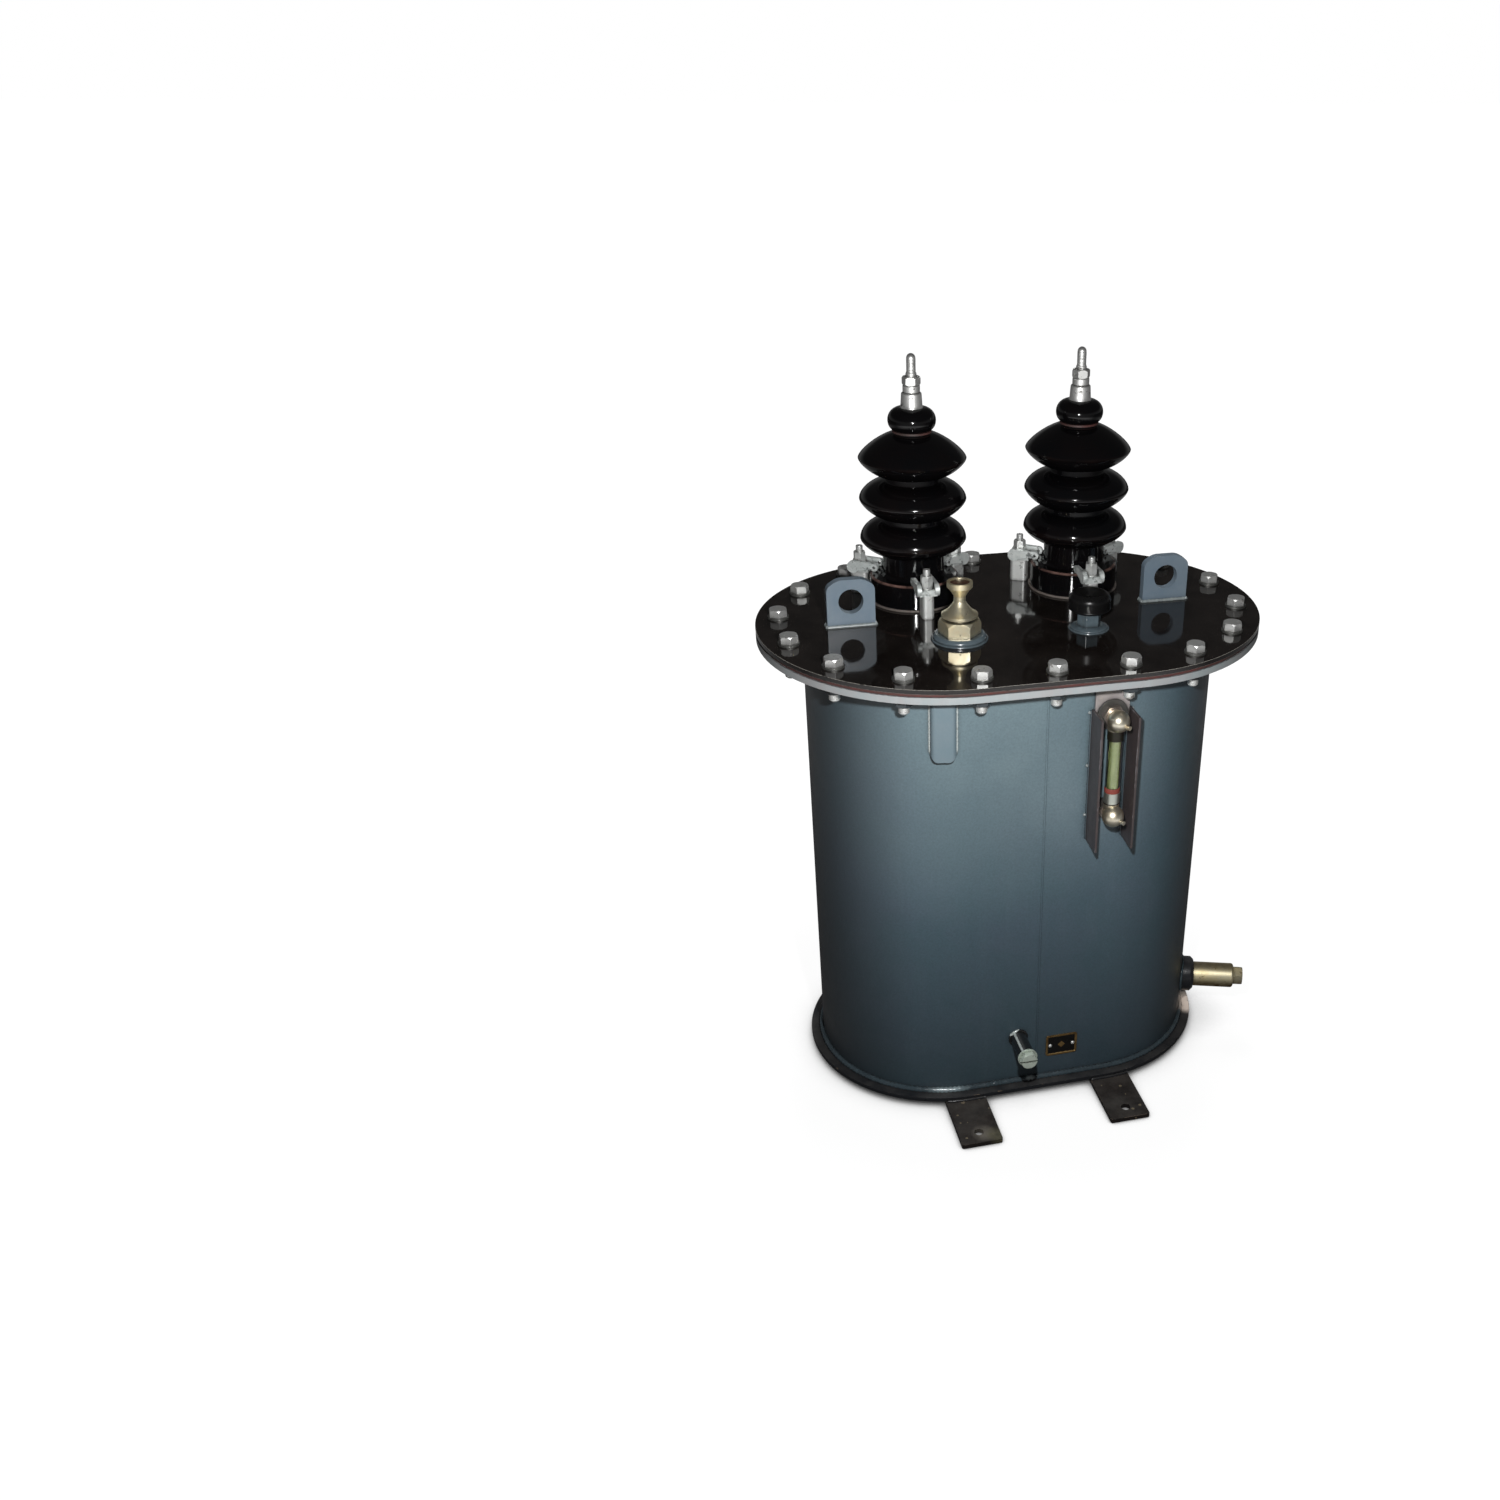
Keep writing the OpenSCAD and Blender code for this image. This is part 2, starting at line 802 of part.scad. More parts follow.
module vent_collar() {
    color([0.38, 0.46, 0.54])
        at_vent()
            rotate_extrude()
                polygon([
                    [0, 0], [vent_collar_d / 2, 0], [vent_collar_d / 2, vent_collar_h * 0.6],
                    [vent_collar_d / 2 - 3, vent_collar_h], [0, vent_collar_h]
                ]);
}

module vent_body() {
    color(brass_colour)
        at_vent()
            difference() {
                union() {
                    translate([0, 0, vent_collar_h])
                        hex_turned(vent_hex_af, vent_hex_h);
                    rotate_extrude()
                        polygon([
                            [0, vent_hex_top - 1], [vent_disc_d / 2 - 6, vent_hex_top - 1],
                            [vent_disc_d / 2 - 6, vent_hex_top + 2], [vent_disc_d / 2, vent_hex_top + 3],
                            [vent_disc_d / 2, vent_hex_top + 6], [vent_disc_d / 2 - 5, vent_hex_top + 9],
                            [vent_waist_d / 2 + 3, vent_hex_top + 15], [vent_waist_d / 2, vent_hex_top + 20],
                            [vent_waist_d / 2, vent_top - vent_cup_h],
                            [vent_cup_d / 2 - 3, vent_top - vent_cup_h + 7],
                            [vent_cup_d / 2, vent_top - vent_cup_h + 10],
                            [vent_cup_d / 2, vent_top], [0, vent_top]
                        ]);
                }
                translate([0, 0, vent_top - vent_recess + 5])
                    cylinder(h = vent_recess, d = vent_cup_d - 6);
            }
}

module vent_plug() {
    color([0.30, 0.16, 0.09])
        at_vent()
            translate([0, 0, vent_top - vent_recess + 5])
                cylinder(h = 3, d = vent_cup_d - 6.5);
}

// Filler neck with a black cap

module at_filler() {
    translate([filler_x, -filler_y, lid_top_z])
        children();
}

module filler_collar() {
    color([0.38, 0.46, 0.54])
        at_filler()
            difference() {
                rotate_extrude()
                    polygon([
                        [0, 0], [filler_collar_d / 2, 0], [filler_collar_d / 2, 2.5],
                        [filler_neck_af / 2 + 4, 5], [0, 5]
                    ]);
                translate([0, 0, -1])
                    hex_prism(filler_neck_af, 10);
            }
}

module filler_neck() {
    color([0.38, 0.46, 0.54])
        at_filler()
            hex_prism(filler_neck_af, filler_neck_h);
}

cap_top_z = filler_neck_h + filler_cap_h;

module filler_cap() {
    color([0.05, 0.05, 0.05])
        at_filler()
            rotate_extrude()
                polygon(concat(
                    [
                        [0, filler_neck_h], [filler_cap_d / 2 - 3, filler_neck_h],
                        [filler_cap_d / 2, filler_neck_h + 3]
                    ],
                    reversed(bulge(
                        filler_cap_d / 2 - 8, cap_top_z,
                        filler_cap_d / 2, filler_neck_h + filler_cap_h * 0.6, 2, 8
                    )),
                    [[0, cap_top_z]]
                ));
}

// Oil gauge on the front wall

gauge_top_z = flange_top_z - gauge_drop;
gauge_low_z = gauge_top_z - gauge_span;
fitting_r = fitting_d / 2;
hex_len = 5;
glass_top_z = gauge_top_z - fitting_r - gland_h;
ring_z = gauge_low_z + fitting_r + socket_h;
glass_low_z = ring_z + ring_h;

// Stands what is drawn in plan, w wide about x, on the wall's curve and depth deep
module on_front(x, w, depth, z, h) {
    translate([0, 0, z])
        linear_extrude(h)
            difference() {
                translate([x - w / 2, -tank_r - depth])
                    square([w, depth + tank_r / 2]);
                obround(tank_r);
            }
}

module gauge_pad() {
    color([0.52, 0.50, 0.49])
        on_front(
            gauge_x, guard_gap, pad_t,
            gauge_top_z - gauge_boss_d / 2, flange_z - gauge_top_z + gauge_boss_d / 2
        );
}

module gauge_guard() {
    color([0.14, 0.12, 0.12])
        for (side = [-1, 1])
            on_front(
                gauge_x + side * (guard_gap + guard_t) / 2, guard_t, guard_depth,
                gauge_low_z - guard_below, gauge_span + guard_above + guard_below
            );
}

// Round boss from depth a to depth b in front of the wall
module gauge_boss(z, a, b, d) {
    translate([gauge_x, -tank_r - a, z])
        rotate([90, 0, 0])
            cylinder(h = b - a, d = d);
}

module gauge_bosses() {
    color([0.20, 0.20, 0.20]) {
        gauge_boss(gauge_top_z, pad_t, gauge_boss_t, gauge_boss_d);
        gauge_boss(gauge_low_z, 0, gauge_boss_t, low_boss_d);
    }
}

// Hexagon, stem, round nose and side screw, with a socket for the glass up or down
module gauge_fitting(z, dir, socket) {
    color(brass_colour)
        translate([gauge_x, -tank_r, z]) {
            translate([0, -gauge_boss_t, 0])
                rotate([90, 0, 0])
                    hex_prism(fitting_af, hex_len);
            translate([0, -gauge_boss_t, 0])
                rotate([90, 0, 0])
                    cylinder(h = gauge_stand + fitting_reach - gauge_boss_t, d = fitting_d - 7);
            translate([0, -gauge_stand - fitting_reach, 0]) {
                sphere(d = fitting_d);
                translate([0, 0, -3])
                    rotate([0, 90, -60])
                        cylinder(h = fitting_r + 4, d = 5, $fn = 32);
            }
            translate([0, -gauge_stand, 0])
                scale([1, 1, dir])
                    cylinder(h = fitting_r + socket, d = glass_d + 1);
        }
}

module gauge_fitting_upper() {
    gauge_fitting(gauge_top_z, -1, gland_h);
}

module gauge_fitting_lower() {
    gauge_fitting(gauge_low_z, 1, socket_h);
}

// Upright tube at the gauge's axis
module gauge_tube(z, h, d) {
    translate([gauge_x, -tank_r - gauge_stand, z])
        difference() {
            cylinder(h = h, d = d);
            translate([0, 0, -1])
                cylinder(h = h + 2, d = glass_d - 2 * glass_t);
        }
}

module gauge_glass() {
    color([0.62, 0.66, 0.36])
        gauge_tube(glass_low_z, glass_top_z - glass_low_z, glass_d);
}

module gauge_ring() {
    color([0.66, 0.20, 0.12])
        gauge_tube(ring_z, ring_h, glass_d + 0.6);
}

// Strap below the flange, with round edges

module strap_front_view() {
    intersection() {
        round_rect(strap_w, 2 * strap_len, strap_r);
        translate([0, -strap_len])
            square([2 * strap_w, 2 * strap_len], center = true);
    }
}

module front_strap() {
    color(tank_colour)
        difference() {
            translate([-end_x, 0, flange_z])
                rotate([0, 0, -asin((strap_x - end_x) / tank_r)])
                    translate([0, -tank_r, 0])
                        intersection() {
                            translate([0, strap_depth, 0])
                                rotate([90, 0, 0])
                                    linear_extrude(2 * strap_depth)
                                        strap_front_view();
                            translate([0, 0, -strap_len])
                                linear_extrude(strap_len)
                                    round_rect(strap_w, 2 * strap_depth, strap_edge_r);
                        }
            translate([0, 0, flange_z - 2 * strap_len])
                linear_extrude(3 * strap_len)
                    obround(tank_r);
        }
}

// Earth boss with its slotted bolt

module earth_boss() {
    color(tank_colour)
        from_front(-earth_x, wall_z + earth_z)
            cylinder(h = earth_len, d = earth_d);
}

module earth_bolt() {
    color(zinc_colour)
        from_front(-earth_x, wall_z + earth_z)
            translate([0, 0, earth_len]) {
                cylinder(h = 2, d = earth_bolt_af + 5);
                translate([0, 0, 2])
                    difference() {
                        hex_turned(earth_bolt_af, 8);
                        translate([0, 0, 7])
                            cube([earth_bolt_af + 4, 2.4, 4], center = true);
                    }
            }
}

// Small plate with two rivets

module marking_plate() {
    color([0.50, 0.42, 0.28])
        from_front(plate_x, wall_z + plate_z)
            linear_extrude(plate_t)
                round_rect(plate_w, plate_h, 3);
}

module plate_rivets() {
    color(zinc_colour)
        for (side = [-1, 1])
            from_front(plate_x + side * rivet_pitch / 2, wall_z + plate_z)
                translate([0, 0, plate_t])
                    intersection() {
                        cylinder(h = rivet_d / 3, d = rivet_d, $fn = 32);
                        translate([0, 0, rivet_d / 3 - rivet_d * 0.545])
                            sphere(r = rivet_d * 0.545, $fn = 32);
                    }
}

// Drain valve on the right end

module at_drain() {
    translate([end_x, 0, wall_z + drain_z])
        rotate([0, 0, -drain_angle])
            translate([tank_r, 0, 0])
                rotate([0, 90, 0])
                    children();
}

module drain_hub() {
    color([0.16, 0.16, 0.18])
        at_drain()
            difference() {
                translate([0, 0, -6])
                    rotate_extrude()
                        polygon([
                            [0, 0], [drain_hub_d / 2, 0], [drain_hub_d / 2, drain_hub_len + 2],
                            [drain_hub_d / 2 - 4, drain_hub_len + 6], [0, drain_hub_len + 6]
                        ]);
                rotate([0, -90, 0])
                    translate([-tank_r, 0, 0])
                        cylinder(h = 4 * drain_hub_d, r = tank_r, center = true, $fn = 128);
            }
}

module drain_valve() {
    color(brass_colour)
        at_drain()
            translate([0, 0, drain_hub_len])
                rotate_extrude()
                    polygon([
                        [0, 0], [drain_body_d / 2, 0], [drain_body_d / 2, drain_body_len - 2],
                        [drain_body_d / 2 - 2, drain_body_len], [0, drain_body_len]
                    ]);
}

module drain_plug() {
    color(brass_colour)
        at_drain()
            translate([0, 0, drain_hub_len + drain_body_len])
                hex_turned(drain_plug_af, drain_plug_len);
}

base_plate();
foot_left();
foot_right();
tank_wall();
tank_flange();
lid_gasket();
lid();
lid_bolts();
lid_nuts();
lug_left();
lug_right();
bushing_left();
bushing_right();
bushing_gaskets();
head_gaskets();
head_left();
head_right();
terminal_left();
terminal_right();
terminal_nuts();
clamp_pillars();
clamp_claws();
clamp_studs();
clamp_nuts();
vent_collar();
vent_body();
vent_plug();
filler_collar();
filler_neck();
filler_cap();
gauge_pad();
gauge_guard();
gauge_bosses();
gauge_fitting_upper();
gauge_fitting_lower();
gauge_glass();
gauge_ring();
front_strap();
earth_boss();
earth_bolt();
marking_plate();
plate_rivets();
drain_hub();
drain_valve();
drain_plug();
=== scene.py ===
import math
import random
from contextlib import contextmanager

import bpy
from mathutils import Matrix, Vector


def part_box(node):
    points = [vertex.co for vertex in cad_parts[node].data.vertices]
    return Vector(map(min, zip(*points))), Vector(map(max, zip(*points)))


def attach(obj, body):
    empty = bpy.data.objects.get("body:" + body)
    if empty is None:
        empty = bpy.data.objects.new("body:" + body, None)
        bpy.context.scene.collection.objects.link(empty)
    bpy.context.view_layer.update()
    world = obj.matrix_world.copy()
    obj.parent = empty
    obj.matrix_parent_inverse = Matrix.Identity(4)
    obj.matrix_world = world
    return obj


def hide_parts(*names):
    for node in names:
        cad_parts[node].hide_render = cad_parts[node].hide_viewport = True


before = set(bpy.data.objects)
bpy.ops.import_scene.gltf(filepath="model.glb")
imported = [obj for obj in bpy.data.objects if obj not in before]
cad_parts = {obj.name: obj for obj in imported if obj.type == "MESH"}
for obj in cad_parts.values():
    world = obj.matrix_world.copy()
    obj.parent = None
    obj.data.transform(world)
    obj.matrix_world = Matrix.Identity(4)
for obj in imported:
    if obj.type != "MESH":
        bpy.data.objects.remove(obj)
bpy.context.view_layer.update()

dice = random.Random(11)

# Main measures of the transformer, in metres, as the solids have them
TANK_R = 0.153  # round ends of the tank's wall
END_X = 0.086  # middle of each round end
BASE_R = 0.1685  # round ends of the base plate
BOLT_R = 0.179  # line of the lid's bolts, about each end
BOLT_COUNT = 18
BUSHING_X, BUSHING_Y = 0.097, 0.072
CLAMP_R = 0.066  # clamps about each bushing
WALL_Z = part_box("tank_wall")[0].z
FLANGE_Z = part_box("tank_flange")[0].z
LID_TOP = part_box("lid")[1].z
FOOT_RIM_Z = LID_TOP + 0.030  # top of the bushings' feet


# Camera


def make_camera():
    """Camera at the photograph's place: 16 degrees to the left of the front, 31 above it"""
    azimuth, elevation, roll = map(math.radians, (-16.26, 30.59, 1.19))
    target, distance = Vector((0, 0, 0.22515)), 1.8528
    back = Vector((
        math.sin(azimuth) * math.cos(elevation),
        -math.cos(azimuth) * math.cos(elevation),
        math.sin(elevation),
    ))
    level = Vector((math.cos(azimuth), math.sin(azimuth), 0))
    up = level.cross(-back)
    right = math.cos(roll) * level + math.sin(roll) * up
    above = math.cos(roll) * up - math.sin(roll) * level
    data = bpy.data.cameras.new("camera")
    data.sensor_fit = "HORIZONTAL"
    data.sensor_width = 36
    data.lens = 35.192
    data.shift_x = -0.1703
    data.shift_y = 0.0799
    camera = bpy.data.objects.new("camera", data)
    bpy.context.scene.collection.objects.link(camera)
    axes = Matrix((right, above, back)).transposed().to_4x4()
    camera.matrix_world = Matrix.Translation(target + distance * back) @ axes
    bpy.context.scene.camera = camera


make_camera()


# Node helpers and the effects that the finishes share


class Board:
    """A node tree, to which nodes are added and wired by name; place is the point that its noises read"""

    def __init__(self, tree, place=None):
        self.tree, self.place = tree, place

    def link(self, output, socket):
        self.tree.links.new(output, socket)

    def give(self, socket, value):
        """Wires an output to a socket, or sets the socket's own value"""
        if isinstance(value, bpy.types.NodeSocket):
            self.link(value, socket)
        elif socket.type == "RGBA":
            socket.default_value = (*value, 1)
        else:
            socket.default_value = value

    def feed(self, node, name, value):
        self.give(next(s for s in node.inputs if s.name.lower() == name.lower() and s.enabled), value)

    def add(self, kind, settings=None, **sockets):
        node = self.tree.nodes.new("ShaderNode" + kind)
        for key, value in (settings or {}).items():
            setattr(node, key, value)
        for key, value in sockets.items():
            self.feed(node, key.replace("_", " "), value)
        return node

    def group(self, tree, **sockets):
        return self.add("Group", {"node_tree": tree}, Vector=self.place, **sockets).outputs

    def math(self, operation, first, second=0.5, clamp=False):
        node = self.add("Math", {"operation": operation, "use_clamp": clamp})
        self.give(node.inputs[0], first)
        self.give(node.inputs[1], second)
        return node.outputs[0]

    def times(self, first, second, clamp=False):
        return self.math("MULTIPLY", first, second, clamp)

    def plus(self, first, second, clamp=False):
        return self.math("ADD", first, second, clamp)

    def minus(self, first, second):
        return self.math("SUBTRACT", first, second)

    def off(self, value, middle):
        """How far a value is from a middle"""
        return self.math("ABSOLUTE", self.minus(value, middle))

    def blend(self, factor, first, second, mode="MIX"):
        node = self.add("Mix", {"data_type": "RGBA", "blend_type": mode})
        for index, value in ((0, factor), (6, first), (7, second)):
            self.give(node.inputs[index], value)
        return node.outputs[2]

    def spread(self, value, low, high, new_low=0.0, new_high=1.0):
        """Maps a value from low..high to new_low..new_high, and stops it there"""
        return self.add(
            "MapRange", Value=value, From_Min=low, From_Max=high, To_Min=new_low, To_Max=new_high,
        ).outputs[0]

    def between(self, value, low, high, soft):
        """1 between low and high, and 0 outside them, with soft edges inside them"""
        return self.times(
            self.spread(value, low, low + soft), self.spread(value, high - soft, high, 1.0, 0.0),
        )

    def noise(self, scale, detail=3.0, roughness=0.55, place=None):
        return self.add(
            "TexNoise", Vector=place or self.place, Scale=scale, Detail=detail, Roughness=roughness,
        ).outputs[0]

    def cloud(self, scale, detail, roughness, low, high, least=0.0, most=1.0):
        """Noise over the piece, mapped from low..high to least..most"""
        return self.spread(self.noise(scale, detail, roughness), low, high, least, most)

    def near(self, point, reach, soft):
        """1 within reach of a point, falling to 0 over the soft distance"""
        away = self.add("VectorMath", {"operation": "DISTANCE"})
        self.link(self.place, away.inputs[0])
        away.inputs[1].default_value = point
        return self.spread(away.outputs["Value"], reach, reach + soft, 1.0, 0.0)


SOCKET_KINDS = {"Vector": "Vector", "Normal": "Vector", "First": "Color", "Second": "Color", "Color": "Color"}


def new_group(name, inputs, outputs):
    """Empty shader node group with a place and more named sockets; gives its board, inputs and end"""
    tree = bpy.data.node_groups.new(name, "ShaderNodeTree")
    for in_out, labels in (("INPUT", "Vector " + inputs), ("OUTPUT", outputs)):
        for label in labels.split():
            kind = "NodeSocket" + SOCKET_KINDS.get(label, "Float")
            tree.interface.new_socket(name=label, in_out=in_out, socket_type=kind)
    start = tree.nodes.new("NodeGroupInput").outputs
    end = tree.nodes.new("NodeGroupOutput").inputs
    return Board(tree, start["Vector"]), start, end


def make_mottle():
    """Cloudy change between two colours, in large and small patches"""
    board, start, end = new_group("Mottle", "Scale First Second Amount", "Color")
    large = board.cloud(start["Scale"], 4, 0.6, 0.35, 0.65)
    small = board.cloud(board.times(start["Scale"], 9.0), 2, 0.5, 0.3, 0.7, -0.2, 0.2)
    factor = board.times(board.plus(large, small), start["Amount"], clamp=True)
    board.link(board.blend(factor, start["First"], start["Second"]), end["Color"])
    return board.tree


def make_grain():
    """Fine unevenness: a change in roughness, and a height for bump"""
    board, start, end = new_group("Fine grain", "Scale Roughness Change", "Roughness Height")
    broad = board.cloud(board.times(start["Scale"], 0.06), 3, 0.6, 0.3, 0.7, -1, 1)
    swing = board.times(broad, start["Change"])
    board.link(board.plus(start["Roughness"], swing, clamp=True), end["Roughness"])
    board.link(board.noise(start["Scale"], 2, 0.5), end["Height"])
    return board.tree


def make_wear():
    """Mask of worn corners: the piece's own edge attribute, broken up by noise"""
    board, start, end = new_group("Edge wear", "Edge Scale Amount", "Mask")
    patches = board.cloud(start["Scale"], 4, 0.65, 0.3, 0.7)
    reach = board.plus(patches, board.minus(start["Amount"], 1.0))
    mask = board.times(board.spread(reach, 0.0, 0.25), board.spread(start["Edge"], 0.1, 0.6))
    board.link(mask, end["Mask"])
    return board.tree


def make_specks():
    """Mask of small scattered dots"""
    board, start, end = new_group("Specks", "Scale Size Share", "Mask")
    cells = board.add("TexVoronoi", Vector=board.place, Scale=start["Scale"])
    chance = board.add("SeparateColor", Color=cells.outputs["Color"]).outputs[0]
    chosen = board.math("LESS_THAN", chance, start["Share"])
    inside = board.math("LESS_THAN", cells.outputs["Distance"], board.times(start["Size"], chance))
    board.link(board.times(chosen, inside), end["Mask"])
    return board.tree


def make_dust():
    """Mask of dust that lies thin on faces that look up, thicker in patches"""
    board, start, end = new_group("Dust", "Normal Scale Amount", "Mask")
    upward = board.add("SeparateXYZ", Vector=start["Normal"]).outputs[2]
    lying = board.times(board.spread(upward, 0.5, 1.0), board.cloud(start["Scale"], 5, 0.7, 0.3, 0.75))
    board.link(board.times(lying, start["Amount"], clamp=True), end["Mask"])
    return board.tree


def make_streaks():
    """Mask of narrow upright runs, as rain leaves on a wall"""
    board, start, end = new_group("Rain runs", "Scale Amount", "Mask")
    drawn_out = board.add("Mapping", Vector=board.place, Scale=(1, 1, 0.05)).outputs[0]
    runs = board.spread(board.noise(start["Scale"], 4, 0.6, drawn_out), 0.5, 0.8)
    breaks = board.cloud(board.times(start["Scale"], 0.25), 3, 0.6, 0.35, 0.6)
    board.link(board.times(board.times(runs, breaks), start["Amount"], clamp=True), end["Mask"])
    return board.tree


def make_corner_shade():
    """Mask of painted shade in corners and beside what stands on a face, from ambient occlusion, in patches"""
    board, start, end = new_group("Corner grime", "Reach Amount", "Mask")
    openness = board.add("AmbientOcclusion", {"samples": 4}, Distance=start["Reach"]).outputs["AO"]
    held = board.times(
        board.spread(openness, 0.3, 0.95, 1.0, 0.0), board.cloud(160.0, 3, 0.6, 0.2, 0.6, 0.5, 1.0),
    )
    board.link(board.times(held, start["Amount"], clamp=True), end["Mask"])
    return board.tree


MOTTLE, GRAIN, WEAR, SPECKS = make_mottle(), make_grain(), make_wear(), make_specks()
DUST, STREAKS, CORNER_SHADE = make_dust(), make_streaks(), make_corner_shade()

DUST_COLOUR = (0.30, 0.28, 0.25)
# Painted shade on the round ends of the tank
END_SHADE_COLOUR = (0.028, 0.029, 0.034)
# Painted shade where a piece meets the wall
ROOT_SHADE_COLOUR = (0.008, 0.008, 0.009)
# Painted shade in corners, on paint and on metal
PAINT_SHADE_COLOUR = (0.012, 0.011, 0.010)
METAL_SHADE_COLOUR = (0.03, 0.025, 0.02)


class Finish(Board):
    """One material: its shader, its coordinates and its own mix of the shared effects"""

    def __init__(self, name, **shader_values):
        self.name = name
        self.material = bpy.data.materials.new(name)
        self.material.use_nodes = True
        super().__init__(self.material.node_tree)
        self.tree.nodes.clear()
        self.shader = self.add("BsdfPrincipled")
        self.link(self.shader.outputs[0], self.add("OutputMaterial").inputs[0])
        where = self.add("TexCoord").outputs
        self.place, self.facing = where["Object"], where["Normal"]
        self.x, self.y, self.z = self.add("SeparateXYZ", Vector=self.place).outputs
        for key, value in shader_values.items():
            self.feed(self.shader, key.replace("_", " "), value)

    def mottled(self, scale, first, second, amount):
        return self.group(MOTTLE, Scale=scale, First=first, Second=second, Amount=amount)[0]

    def grained(self, scale, roughness, change):
        """An uneven roughness, and the height of a fine grain"""
        return self.group(GRAIN, Scale=scale, Roughness=roughness, Change=change)

    # Painted shade: lays a colour over corners and beside what stands on a face
    def shaded_in_corners(self, reach, amount, colour, corner_colour):
        return self.blend(self.group(CORNER_SHADE, Reach=reach, Amount=amount)[0], colour, corner_colour)

    def stand_off(self):
        """How far a place stands out from the tank's wall"""
        beyond = self.math("MAXIMUM", self.minus(self.math("ABSOLUTE", self.x), END_X), 0.0)
        squares = self.plus(self.times(beyond, beyond), self.math("POWER", self.y, 2.0))
        return self.minus(self.math("SQRT", squares), TANK_R)

    def colour(self, value):
        self.feed(self.shader, "Base Color", value)

    def recolour(self, mask, colour):
        """Lays one more colour over the finished one"""
        old = self.shader.inputs["Base Color"].links[0].from_socket
        self.colour(self.blend(mask, old, colour))

    def surface(self, rough, height, strength, distance, wave=0.0):
        """Roughness and fine bump, on top of a slow waviness of the sheet where wave is over 0"""
        self.feed(self.shader, "Roughness", rough)
        node = self.add("Bump", Height=height, Strength=strength, Distance=distance)
        if wave:
            under = self.add("Bump", Height=self.noise(7.0, 2, 0.5), Strength=wave, Distance=0.004)
            self.feed(node, "Normal", under.outputs[0])
        self.feed(self.shader, "Normal", node.outputs[0])


def paint(
    name, first, second, roughness, *, change=0.05, grain=900, bump=0.15, spec=0.5, mottle=6.0, amount=0.6,
    worn=None, wear=0.0, dust=0.0, specks=0.0, speck_colour=None, speck_scale=55.0, speck_size=0.16,
    runs=0.0, run_colour=None, grime=0.0, corner_shade_reach=0.008, corner_shade_colour=PAINT_SHADE_COLOUR, wave=0.0,
    patches=(), bottom_shade=None, painted_light=None, ends=None, root_shade=None, grit=0.0,
):
    """Paint on steel: cloudy colour, orange peel, worn corners, specks, runs, painted shade in corners and thin
    dust.

    faded is (place, reach, soft edge, colour) of one pale cloud of painted light, and patches are the same
    with a share before the colour; ends is (from, to, share) of painted shade along x; rooted is how far from
    the wall a piece's painted shade at its root goes; rising is (low z, high z, share of the colour that is
    left at low z) of painted shade, darker towards the bottom."""
    finish = Finish(name, Specular_IOR_Level=spec)
    colour = finish.mottled(mottle, first, second, amount)
    rough, height = finish.grained(grain, roughness, change)
    # Painted light: a pale pool laid over the paint
    if painted_light:
        *spot, pale = painted_light
        spot = finish.times(finish.near(*spot), finish.cloud(11.0, 3, 0.55, 0.3, 0.6, 0.72))
        colour = finish.blend(spot, colour, pale)
    for *spot, share, patch_colour in patches:
        spot = finish.times(finish.near(*spot), finish.cloud(60.0, 4, 0.6, 0.3, 0.6, 0.3, share), clamp=True)
        colour = finish.blend(spot, colour, patch_colour)
    if runs:
        colour = finish.blend(finish.group(STREAKS, Scale=70.0, Amount=runs)[0], colour, run_colour)
    if specks:
        dots = finish.group(SPECKS, Scale=speck_scale, Size=speck_size, Share=specks)[0]
        colour = finish.blend(dots, colour, speck_colour)
    if dust:
        lying = finish.group(DUST, Normal=finish.facing, Scale=24.0, Amount=dust)[0]
        colour = finish.blend(lying, colour, DUST_COLOUR)
        rough = finish.plus(rough, finish.times(lying, 0.35), clamp=True)
    if wear:
        edge = finish.add("Attribute", {"attribute_name": "edge"}).outputs["Fac"]
        mask = finish.group(WEAR, Edge=edge, Scale=70.0, Amount=wear)[0]
        colour = finish.blend(mask, colour, worn)
        rough = finish.plus(rough, finish.times(mask, 0.1), clamp=True)
    if grit:
        fleck = finish.cloud(420.0, 3, 0.7, 0.3, 0.7, 1 - grit, 1 + grit)
        colour = finish.blend(1.0, colour, fleck, "MULTIPLY")
    # Painted shade: the colour darkens towards the round ends
    if ends:
        start_x, end_x, share = ends
        end_shade_mask = finish.spread(finish.math("ABSOLUTE", finish.x), start_x, end_x, 0.0, share)
        colour = finish.blend(end_shade_mask, colour, END_SHADE_COLOUR)
    # Painted shade: near-black where the piece meets the wall
    if root_shade:
        root = finish.spread(finish.stand_off(), root_shade, root_shade + 0.0008, 1.0, 0.0)
        colour = finish.blend(root, colour, ROOT_SHADE_COLOUR)
    # Painted shade: the colour darkens towards the bottom
    if bottom_shade:
        low_z, high_z, low_share = bottom_shade
        share = finish.spread(finish.z, low_z, high_z, low_share, 1.0)
        colour = finish.blend(1.0, colour, share, "MULTIPLY")
    if grime:
        colour = finish.shaded_in_corners(corner_shade_reach, grime, colour, corner_shade_colour)
    finish.colour(colour)
    finish.surface(rough, height, bump, 0.0004, wave)
    return finish


